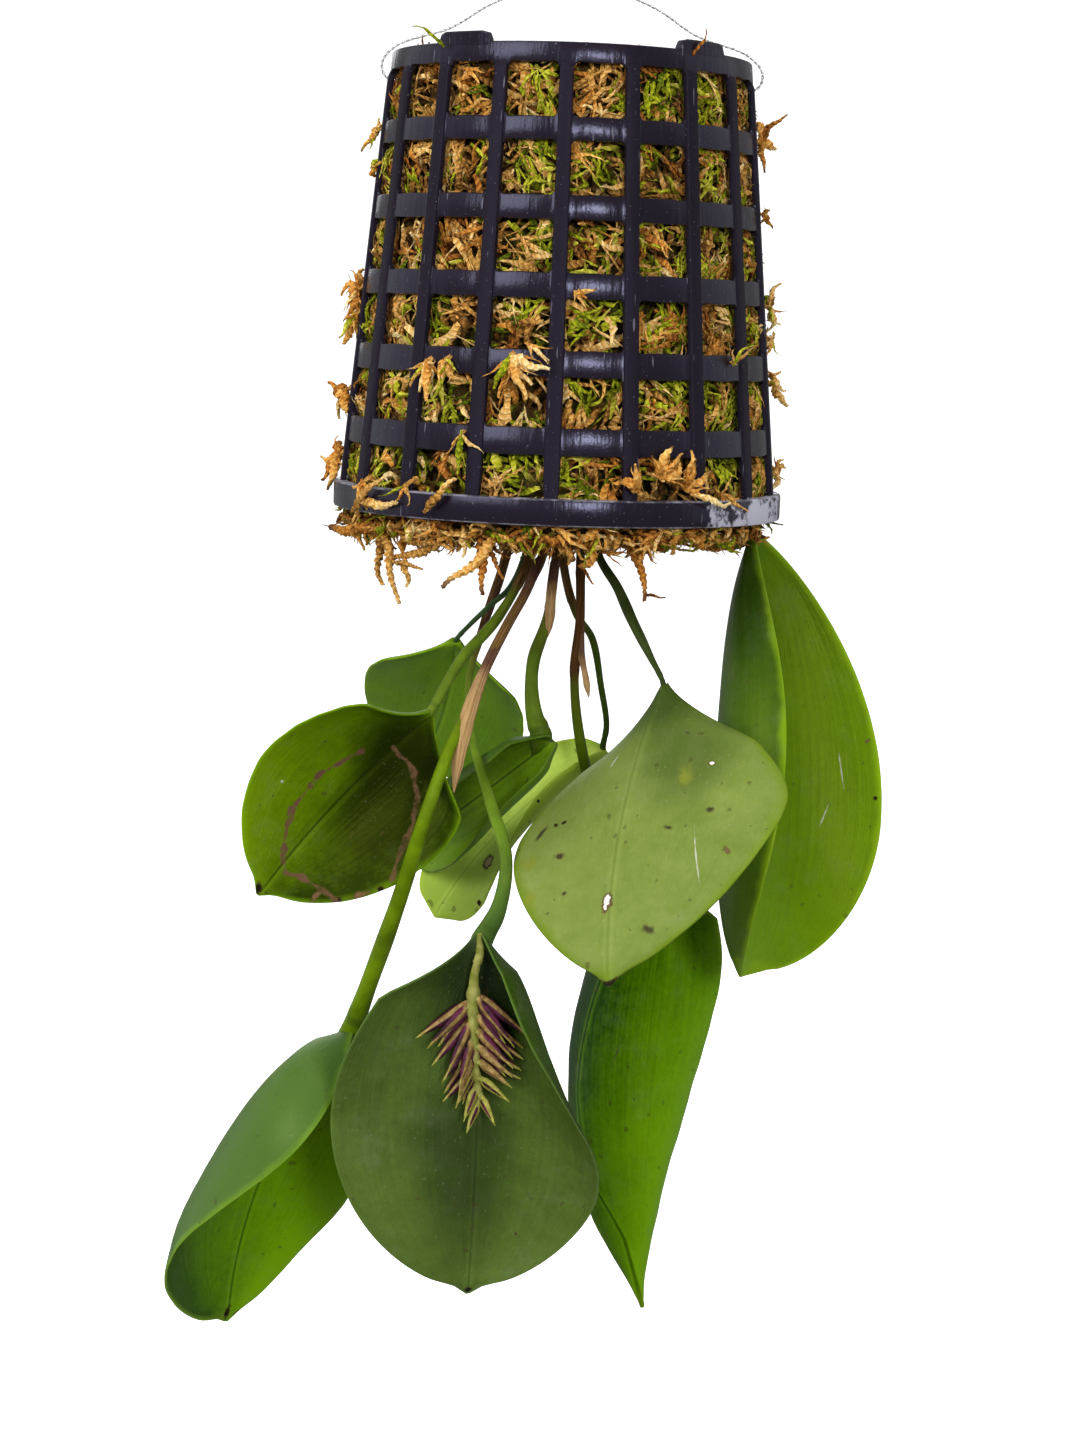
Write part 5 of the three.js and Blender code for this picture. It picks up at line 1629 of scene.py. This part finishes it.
def wallMoss(random):
    # wisps of strands that share a place and a direction, over a layer of thick short ones
    made = {}
    for name, total, wanted, perWisp, kinds in (
        ("straw", mossLook["strawCount"], False, 4, strandKinds(random, 8, 7, flare=0.16, crook=1.6)),
        ("green", mossLook["greenCount"], True, 5, strandKinds(random, 8, 6, flare=0.42, crook=1.3, slim=0.25)),
        ("under", mossLook["underCount"], None, 1, strandKinds(random, 8, 5, flare=0.3, crook=0.8, slim=0.4)),
    ):
        wisps = total // perWisp
        # of evenly scattered places, those of the right colour are kept
        tries = wisps * 6
        step = np.arange(tries) + random.integers(0, 1000)
        angle = (step * 0.7548776662 % 1) * 360 - 180
        z = mix(potMouth + 0.5, potTop - 2.5, step * 0.569840291 % 1)
        share = greenShare(angle, z - potMouth)
        chance = 0.9 * share + 0.04 if wanted else 1 - 0.8 * share
        if wanted is None:
            chance = np.full(tries, 0.5)
        seen = plasticDistance(angle, z, wallRadius(z)) > -1.8
        likely = chance / chance.max() * seen
        likely = np.minimum(1, likely * wisps / max(1, likely.sum()) * 1.04)
        kept = np.flatnonzero(random.random(tries) < likely)

        def spread(values, jitter):
            values = np.repeat(values, perWisp)
            return values + random.normal(0, jitter, len(values))

        angle, z = spread(angle[kept], 2.2), spread(z[kept], 1.3)
        angle = np.clip(angle, -180, 180)
        z = np.clip(z, potMouth + 0.3, potTop - 2.3)
        heading = 70 * np.sin(np.radians(angle * 7.3) + 0.11 * z) + 65 * np.sin(0.21 * z + angle * 0.06)
        heading = heading + spread(random.normal(0, 42, len(kept)), 20 if not wanted else 38)
        heading = heading + np.repeat(180 * (random.random(len(kept)) < 0.5), perWisp)
        count = len(angle)
        shallow = (-3.4, -0.1) if wanted is not None else (-4.2, -2.6)
        depth = spread(random.uniform(*shallow, len(kept)), 0.4)
        a = np.radians(angle)
        base = np.stack([np.sin(a), -np.cos(a), np.zeros(count)], -1) * (wallRadius(z) + depth)[:, None]
        base[:, 2] = z
        aim, up = tangentFrames(angle, heading, spread(random.uniform(-10, 34, len(kept)), 6))
        if wanted:
            long, thick = random.uniform(3.5, 7.5, count), random.uniform(0.22, 0.46, count)
        elif wanted is None:
            long, thick = random.uniform(4.5, 7.5, count), random.uniform(0.55, 0.95, count)
        else:
            # long and thin like straw, a quarter of them thick
            long = random.uniform(5.5, 12, count)
            thick = random.uniform(0.24, 0.52, count)
            fat = random.random(count) < 0.25
            long, thick = np.where(fat, 7.5, long), np.where(fat, random.uniform(0.6, 0.95, count), thick)
        bend = spread(random.uniform(-1.5, 1.1, len(kept)), 0.5)
        which = random.integers(0, len(kinds), count)
        rusty = np.repeat(np.where(random.random(len(kept)) < 0.38, 2, 0), perWisp)
        tone = np.clip(spread(random.uniform(0.1, 0.9, len(kept)), 0.12), 0, 1)
        if wanted is None:
            greenish = random.random(count) < greenShare(angle, z - potMouth)
            rusty = np.where(greenish, 1, rusty)
        tint = np.stack([tone, np.full(count, 1.0) if wanted else rusty, random.random(count)], -1)
        start = base - aim * long[:, None] * 0.45
        made[name] = laidStrands(kinds, which, start, aim, up, long, thick, bend, tint, behindWall)
    return made


def mouthMoss(random):
    # the filling at the mouth and under the closed end
    kinds = strandKinds(random, 8, 7, flare=0.2, crook=1.6)
    batches = []
    for count, top in ((mossLook["mouthCount"], False), (mossLook["topCount"], True)):
        limit = 33.5 if top else 41
        radius = limit * np.sqrt(random.random(count))
        angle = random.uniform(-180, 180, count)
        a = np.radians(angle)
        level = potTop - pot["plate"] - 2.2 if top else potMouth - 2.6
        z = np.full(count, level) + random.uniform(-1.6, 0.8, count) - (0 if top else 1.5) * (1 - radius / limit)
        base = np.stack([radius * np.sin(a), -radius * np.cos(a), z], -1)
        heading = random.uniform(0, 2 * pi, count)
        tilt = random.uniform(-0.15, 0.5, count) * (0.2 if top else 1)
        sign = 1 if top else -1
        aim = np.stack([np.cos(heading) * np.cos(tilt), np.sin(heading) * np.cos(tilt), sign * np.sin(tilt)], -1)
        up = np.stack([-np.cos(heading) * np.sin(tilt), -np.sin(heading) * np.sin(tilt), sign * np.cos(tilt)], -1)
        long, thick = random.uniform(5.5, 11, count), random.uniform(0.3, 0.75, count)
        bend = random.uniform(-0.9, 0.5, count)
        which = random.integers(0, len(kinds), count)
        kindOf = random.choice([0, 1, 2], count, p=[0.3, 0.15, 0.55])
        tint = np.stack([random.random(count), kindOf, random.random(count)], -1)

        def inside(points):
            if top:
                points[..., 2] = np.minimum(points[..., 2], potTop - pot["plate"] - 0.25)
            far = farOut(points)
            most = np.where(points[..., 2] > potMouth - 0.2, 41.6, 44) if not top else 33.9
            points[..., :2] *= np.minimum(1, most / np.maximum(far, 1e-6))[..., None]
            return points, np.clip(0.55 + sign * (points[..., 2] - level) / 3, 0.1, 1)

        start = base - aim * long[:, None] * 0.4
        batches += laidStrands(kinds, which, start, aim, up, long, thick, bend, tint, inside)
    return batches


def strandTuft(random, kinds, place, outward, heading, reach, count, spreadDegrees, size, warm, target):
    # a star of strands from one point; heading is the direction of the middle one
    side = unit(np.cross(outward, heading))
    for k in range(count):
        swing = mix(-spreadDegrees, spreadDegrees, (k + 0.5) / count) + random.uniform(-14, 14)
        aim = turnAbout(heading, outward, swing)
        aim = unit(aim + outward * random.uniform(-0.15, 0.4) + side * 0.05)
        up = turnAbout(unit(outward - aim * np.dot(outward, aim)), aim, random.uniform(-70, 70))
        long = reach * random.uniform(0.65, 1.15)
        kind = kinds[random.integers(0, len(kinds))]
        start = place + aim * random.uniform(-0.6, 0.3)
        thick = size * random.uniform(0.55, 1)
        copies = oneStrand(kind, start, aim, up, long, thick, random.uniform(-1.5, 0.9))
        colour = 2 if warm >= 0.4 else float(random.choice([0, 2, 1], p=[0.45, 0.4, 0.15]))
        tone = warm * random.uniform(0.8, 1) if warm > 0.5 else random.uniform(0.25, 1)
        light = np.clip(0.35 + 2.2 * kind[0][:, 0], 0, 1)
        addStrand(target, kind, copies, (tone, colour, random.random()), long, light)


# strands out of the openings: angle, height above the mouth, heading, reach, how many, spread, thickness, warmth
looseTufts = [
    (-37, 29.5, 10, 8, 5, 45, 0.95, 0.2), (-31, 30, -5, 7, 4, 40, 0.9, 0.3), (-13, 31, 15, 8.5, 5, 60, 1, 0.35),
    (-25, 16.5, 5, 8, 2, 12, 0.75, 0.2), (-9, 33.5, 60, 8, 2, 15, 0.5, 0.3), (26, 9.5, 150, 7, 5, 80, 1.05, 0.45),
    (33, 7.5, 130, 7, 4, 60, 1, 0.4), (20, 7, -140, 7, 3, 40, 0.95, 0.45), (45, 6.5, 60, 7, 2, 25, 0.6, 0.25),
    (-58, 6, 20, 7, 3, 30, 0.9, 0.45), (-40, 6.5, -25, 7, 2, 20, 0.95, 0.3), (3, 43, 60, 4, 2, 40, 0.7, 0.4),
    (86, 74, 100, 7, 5, 70, 1, 0.4), (-84, 74, -70, 6.5, 2, 30, 0.8, 0.35), (-80, 67, -90, 4.5, 3, 50, 0.8, 0.3),
    (-86, 43, -60, 7, 7, 80, 1.15, 0.3), (-84, 38, 0, 7, 5, 50, 1.15, 0.25), (-86, 23, -30, 7, 6, 70, 1.15, 0.3),
    (-88, 10, -40, 7, 7, 80, 1.15, 0.4), (86, 42, 90, 6.5, 5, 80, 0.95, 0.25), (84, 36, 40, 6, 3, 40, 0.8, 0.3),
    (86, 27, 70, 5.5, 4, 60, 0.9, 0.2), (88, 10, 60, 5, 4, 80, 0.85, 0.2), (80, 60, 80, 4.5, 2, 40, 0.7, 0.3),
    (52, 31, 150, 5, 2, 30, 0.5, 0.3),
    (120, 30, 10, 7, 4, 60, 0.95, 0.3), (150, 14, 20, 7.5, 5, 60, 1, 0.4), (178, 44, 0, 7, 4, 60, 0.95, 0.3),
    (-160, 16, -20, 7, 4, 60, 0.95, 0.4), (-135, 32, 10, 7, 4, 60, 0.95, 0.3), (-118, 60, -10, 6, 3, 60, 0.9, 0.3),
    (160, 73, 10, 6, 3, 50, 0.9, 0.3), (-150, 6, 0, 6.5, 3, 50, 0.9, 0.4), (115, 8, 10, 6.5, 3, 50, 0.9, 0.35),
]
# strands under the mouth: angle, radius, drop, lean outwards, how many, warmth
hangingTufts = [
    (-78, 39, 5, 12, 4, 0.6), (-62, 38, 8, 4, 5, 0.62), (-52, 37, 7, 0, 4, 0.6), (-68, 39, 6, 8, 4, 0.7),
    (-44, 35, 6, -6, 5, 0.75), (-34, 34, 7, -10, 4, 0.6), (-22, 33, 7, 0, 4, 0.8), (-12, 31, 7, 4, 4, 0.8),
    (-6, 28, 7, 0, 4, 0.75), (4, 32, 7, 0, 5, 0.7), (12, 32, 7, 4, 4, 0.7), (26, 33, 6, 0, 4, 0.75),
    (52, 37, 4, 4, 3, 0.75), (100, 37, 7, 0, 4, 0.7), (122, 38, 9, 4, 4, 0.65), (140, 36, 8, 0, 4, 0.7),
    (158, 38, 11, 4, 5, 0.65), (176, 37, 8, 0, 4, 0.7), (-166, 38, 10, 4, 4, 0.65), (-148, 36, 8, 0, 4, 0.7),
    (-130, 38, 9, 4, 5, 0.65), (-112, 37, 8, 4, 4, 0.7), (-94, 38, 8, 8, 4, 0.65),
    (-20, 14, 5, 0, 4, 0.8), (20, 12, 6, 0, 4, 0.8), (60, 14, 5, 0, 4, 0.7), (-80, 16, 5, 0, 4, 0.7),
    (0, 20, 6, 0, 5, 0.75), (160, 16, 5, 0, 4, 0.75), (-140, 18, 5, 0, 4, 0.75),
]


# single strands under the rim and over its edge: places in mm, half thickness, colour (0 straw, 2 amber), tone
singleStrands = [
    ([(-33.5, -22, -115), (-34, -21.5, -121), (-34.5, -20.5, -125), (-34, -21, -127.5)], 0.8, 0, 0.35),
    ([(-34, -23, -115), (-32.5, -24.5, -120), (-31.5, -26.5, -123), (-30.5, -27.5, -127), (-29.5, -28.5, -130)],
     0.75, 0, 0.45),
    ([(-29, -27.5, -121), (-28.5, -28.5, -124.5), (-28.5, -28, -127)], 0.6, 0, 0.5),
    ([(-31.5, -26.5, -122), (-28.5, -29.5, -122.5), (-25, -32.5, -123)], 0.45, 0, 0.4),
    ([(-19.5, -34, -116), (-24, -31, -118.5), (-28, -27.5, -121), (-32, -22.5, -123)], 0.8, 0, 0.2),
    ([(-31, -25.5, -116), (-26, -30, -118.5), (-22, -33.5, -117.5), (-19.5, -35, -118.5)], 0.65, 0, 0.3),
    ([(-10.5, -37.5, -114), (-13.5, -36.5, -119.5), (-16.5, -35.5, -122), (-19.5, -34, -124), (-21.5, -32.5, -126)],
     0.85, 2, 0.9),
    ([(-14.5, -35, -115), (-13.5, -35.5, -120), (-13.5, -35.5, -123.5), (-14, -35.5, -127)], 0.8, 2, 0.2),
    ([(-17.5, -37, -114), (-17, -37, -118), (-17.5, -37, -120)], 0.55, 0, 0.8),
    ([(-14, -34.5, -117), (-10.5, -35.5, -121.5), (-9.5, -35.5, -124)], 0.45, 2, 0.1),
    ([(-35, -21, -116.5), (-39, -14, -117), (-42.5, -9, -117.3), (-45.5, -6, -117.3)], 1.1, 2, 0.45),
    ([(-44, -5, -116.5), (-42.5, -10.5, -114.7), (-39.5, -19, -114.7)], 0.35, 2, 0.2),
    ([(-39.5, -24, -113), (-37.8, -27, -110.5), (-35.4, -29.5, -108), (-33, -30, -106)], 0.7, 0, 0.6),
    ([(-37.3, -28, -111), (-33.8, -32, -111), (-30.4, -35, -110)], 0.75, 0, 0.8),
    ([(-24.8, -39.8, -111.5), (-22.7, -41, -109), (-20.6, -41, -106.5), (-19.5, -39.5, -105)], 0.65, 0, 0.55),
    ([(13.5, -33.5, -113), (15, -33, -117.5), (16, -32.5, -120.5), (16.5, -32, -124), (17.5, -31.5, -127.5)],
     0.8, 2, 0.5),
    ([(17.3, -31.5, -126.5), (19, -30.5, -126.5), (21.5, -29, -127)], 0.28, 2, 0),
    ([(17, -33, -113.5), (16.5, -33, -117.5), (15.5, -33.5, -120)], 0.9, 2, 0.6),
    ([(22.5, -33, -113), (23, -32.5, -116), (22.5, -33, -118.5)], 0.8, 2, 0.7),
    ([(28.5, -28.5, -113), (28, -29, -116.5), (29.5, -27, -117.5)], 0.7, 2, 0.5),
    ([(31, -27, -113.5), (29, -29, -116.5)], 0.5, 2, 0.7),
    ([(1.5, -38, -113.5), (2.5, -38, -117), (3.5, -38, -120)], 1, 2, 0.8),
    ([(6, -36.5, -113.5), (7, -36.5, -117.5), (4.5, -36.5, -121)], 1.15, 2, 0.6),
    ([(4.5, -35.5, -119.5), (6, -35.5, -122.5), (7.5, -35, -124.5)], 0.32, 2, 0),
    ([(0, -38, -113.5), (-1, -38, -117.5)], 0.85, 2, 0.8),
    ([(25.2, -37, -106.5), (28.3, -37.3, -107), (30.8, -35.3, -108.5), (33.3, -33, -108.5)], 0.5, 0, 0.95),
]


def alongPath(kind, places, thick):
    # one strand laid along a smooth path
    line = np.array(smoothPath(places, 60))
    frames = framesOn(line)
    laid = []
    for t, y, z in kind[0]:
        i = min(59, max(0, round(t * 59)))
        _, side, ahead = frames[i]
        laid.append(line[i] + (side * y + ahead * z) * thick)
    return np.array([laid]), np.linalg.norm(np.diff(line, axis=0), axis=1).sum()


def underRim(points):
    far = farOut(points)
    under = np.minimum(points[..., 2], potMouth - 0.15)
    points[..., 2] = np.where(far > 41.8, under, points[..., 2])
    return points, np.clip((far - 34) / 7, 0.1, 1) * np.clip(0.5 + (potMouth - points[..., 2]) / 5, 0.5, 1)


def fringeMoss(random):
    fingers = strandKinds(random, 9, 13, sides=6, flare=0.17, crook=0.9, slim=0.3)
    thin = strandKinds(random, 9, 8, flare=0.2, crook=1.6)
    batches = []
    for angle, height, heading, reach, count, spreadDegrees, size, warm in looseTufts:
        z = potMouth + height
        a = radians(angle)
        outward = np.array([sin(a), -cos(a), 0.0])
        sideways = np.array([cos(a), sin(a), 0.0])
        h = radians(heading)
        aim = unit(np.array([0, 0, -1.0]) * cos(h) + sideways * sin(h) + outward * 0.12)
        place = outward * (wallRadius(z) + 0.6 + size * 0.6)
        place[2] = z
        strandTuft(random, fingers, place, outward, aim, reach, count, spreadDegrees, size, warm, batches)
        strandTuft(random, thin, place, outward, aim, reach * 0.75, count + 1, spreadDegrees + 30, 0.45, warm, batches)
        # a neck that ties the tuft to the filling
        kind = fingers[0]
        neck = oneStrand(kind, place - outward * 4.2, outward, (0, 0, 1), 4.8, size * 0.9, 0.1)
        addStrand(batches, kind, neck, (0.3, 0, 0.5), 4.8, kind[0][:, 0])
    for angle, radius, drop, lean, count, warm in hangingTufts:
        a = radians(angle)
        outward = np.array([sin(a), -cos(a), 0.0])
        aim = unit(np.array([0, 0, -1.0]) + outward * tan(radians(lean)))
        place = outward * radius
        place[2] = potMouth - 1
        strandTuft(random, fingers, place, outward, aim, drop * 0.62, count, 62, 1, warm, batches)
        # the longest strands go on down from the tuft
        below = place + aim * drop * 0.3
        strandTuft(random, fingers, below, outward, aim, drop * 0.74, 2, 14, 0.95, warm * 1.05, batches)
        strandTuft(random, thin, place, outward, aim, drop * 0.7, 4, 70, 0.45, warm, batches)
    # a close fringe under the rim, thin strands with some thick ones
    for kinds, number, width in ((thin, "fringeCount", (0.25, 0.55)), (fingers, "fingerCount", (0.6, 0.95))):
        count = mossLook[number]
        angle = random.uniform(-180, 180, count)
        a = np.radians(angle)
        radius = random.uniform(30, 42.6, count)
        level = potMouth - random.uniform(-0.3, 3.4, count) * np.where((angle > 28) & (angle < 95), 0.45, 1)
        base = np.stack([radius * np.sin(a), -radius * np.cos(a), level], -1)
        aim, up = tangentFrames(angle, random.uniform(-95, 95, count), random.uniform(-25, 28, count))
        # the fringe comes in lumps, and is short on the right of the front
        lumps = 0.5 + 0.5 * np.sin(angle * 0.23 + 1) * np.sin(angle * 0.091 + 0.4)
        long = random.uniform(4, 8, count) * (0.6 + 0.6 * lumps) * np.where((angle > 30) & (angle < 95), 0.62, 1)
        thick = random.uniform(*width, count)
        bend = random.uniform(-1.5, 1.2, count)
        which = random.integers(0, len(kinds), count)
        # the right leaf comes out from under the rim where the fringe is thin
        which[(angle > 50) & (angle < 100) & (random.random(count) < 0.8)] = -1
        kindOf = random.choice([0, 1, 2], count, p=[0.25, 0.12, 0.63])
        tint = np.stack([random.uniform(0.15, 1, count), kindOf, random.random(count)], -1)
        batches += laidStrands(kinds, which, base - aim * 1.5, aim, up, long, thick, bend, tint, underRim)
    for places, thick, colour, tone in singleStrands:
        rings = max(8, round(2.2 * np.linalg.norm(np.subtract(places[-1], places[0]))))
        kind = strandKinds(random, 1, rings, sides=6, flare=0.34, crook=0.9, slim=0.42)[0]
        copies, long = alongPath(kind, places, 1.1 * thick)
        addStrand(batches, kind, copies, (tone, colour, random.uniform(0.5, 1)), long, 0.9)
    # two bits of twig that stick up from the closed end
    for start, aim, long, thick, tint in (
        ((-24, -27.3, -25), (-0.75, 0.1, 0.66), 7.5, 0.42, (0.35, 1, 0.5)),
        ((22, -27.5, -25.5), (0.62, 0.1, 0.78), 6.5, 0.4, (0, 2, 0.2)),
    ):
        aim = unit(np.array(aim))
        copies = oneStrand(thin[0], start, aim, unit(np.cross(aim, [0, 1, 0])), long, thick, 0.3)
        addStrand(batches, thin[0], copies, tint, long, 0.8)
    return batches


def makeMossCore(random):
    core = primitive(bpy.ops.mesh.primitive_uv_sphere_add, "mossCore", segments=120, ring_count=60, radius=1)
    waves = random.uniform(0, 6.28, 12)
    for vertex in core.data.vertices:
        x, y, z = vertex.co
        s = acos(max(-1, min(1, z))) / pi
        a = atan2(x, -y)
        if s < 0.2:
            radius, height = 34 * s / 0.2, potTop - pot["plate"] - 2.6
            radius = min(radius, 33)
        elif s < 0.8:
            height = mix(potTop - pot["plate"] - 2.6, potMouth - 1, (s - 0.2) / 0.6)
            radius = wallRadius(height) - 4.6
        else:
            share = (s - 0.8) / 0.2
            radius = (wallRadius(potMouth) - 4.6) * (1 - share)
            height = potMouth - 1 - 3 * sin(share * pi / 2)
        lump = sum(
            sin((k + 3) * a * (1 if k % 2 else 2) + waves[k]) * sin((9 + 5 * k) * s * 3 + waves[-1 - k])
            for k in range(6)
        )
        lump += 0.8 * sin(37 * a + waves[0]) * sin(120 * s)
        grow = 1 + 0.011 * lump
        vertex.co = Vector((sin(a) * radius * grow, -cos(a) * radius * grow, height + 0.35 * lump * (s > 0.8))) * mm
    bpy.ops.object.transform_apply(location=True, rotation=True, scale=True)
    smoothShade(core)
    return core


def mossFinish():
    made = Finish("sphagnum", 0.85, 0.15)
    tone, along, kind = made.tint("mossTint")
    _, corner, length = made.uv("scales")
    _, light, own = made.uv("light")
    place = made.coordinates
    fine = made.noise(place, 1500, 3, 0.6)
    broad = made.noise(place, 150, 2)
    # scale leaves, each dark at its foot and pale at its point
    phase = made.plus(made.times(length, 0.85), made.times(corner, 0.5))
    phase = made.plus(phase, made.times(fine, 0.35))
    scale = made.math("FRACT", made.plus(phase, own))
    share = made.plus(made.times(tone, 0.58), made.times(fine, 0.3))
    share = made.wobble(share, broad, 0.6)
    share = made.plus(share, made.times(made.minus(along, 0.6), 0.25))
    share = made.plus(share, made.times(made.minus(scale, 0.4), 0.38))
    straw = made.ramp(
        share, (0.05, (0.085, 0.03, 0.007)), (0.32, (0.41, 0.188, 0.034)), (0.58, (0.78, 0.435, 0.108)),
        (0.86, (0.98, 0.8, 0.4)),
    )
    leafy = made.ramp(
        share, (0.03, (0.035, 0.055, 0.001)), (0.3, (0.18, 0.225, 0.002)), (0.58, (0.48, 0.48, 0.015)),
        (0.92, (0.8, 0.73, 0.13)),
    )
    amber = made.ramp(
        share, (0.05, (0.07, 0.018, 0.004)), (0.3, (0.36, 0.122, 0.016)), (0.58, (0.7, 0.31, 0.048)),
        (0.88, (0.93, 0.6, 0.19)),
    )
    colour = made.colour(made.band(kind, 0.4, 0.6), straw, leafy)
    colour = made.colour(made.band(kind, 1.4, 1.6), colour, amber)
    # some tips turn brown and purple
    old = made.times(made.band(along, 0.72, 0.98), made.band(kind, 1.5, 1.9))
    old = made.times(old, made.band(own, 0.55, 0.75))
    colour = made.over(colour, old, 0.85, (0.05, 0.018, 0.016))
    # little light reaches the depth
    deep = made.band(light, 0.5, 0)
    colour = made.over(colour, deep, 0.85, (0.022, 0.012, 0.003))
    made.paint(colour)
    made.bump((scale, 0.00022), (fine, 0.0002))
    return made.material


def shadedCoreFinish():
    made = Finish("deep moss in painted shade", 0.95, 0.1)
    fine = made.noise(made.coordinates, 500, 4, 0.7)
    broad = made.noise(made.coordinates, 90, 2)
    # painted shade: the core's moss colours are kept dark to stand for the shadow deep inside the filling
    dark = made.colour(made.band(broad, 0.4, 0.62), (0.055, 0.03, 0.008), (0.03, 0.036, 0.004))
    made.paint(made.colour(made.band(fine, 0.4, 0.8), dark, (0.16, 0.105, 0.03)))
    made.bump((fine, 0.002))
    return made.material


mossRandom = np.random.default_rng(17)
settle(makeMossCore(mossRandom), "moss", shadedCoreFinish())
sphagnum = mossFinish()
wall = wallMoss(mossRandom)
for name, batches in (
    ("sphagnumStraw", wall["straw"]), ("sphagnumGreen", wall["green"]), ("sphagnumUnder", wall["under"]),
    ("sphagnumEnds", mouthMoss(mossRandom)), ("sphagnumLoose", fringeMoss(mossRandom)),
):
    piece = mossPiece(name, batches)
    smoothShade(piece, 50)
    settle(piece, "moss", sphagnum)
    triangles = sum(len(face.vertices) - 2 for face in piece.data.polygons)
    print("moss made:", name, triangles, "triangles")
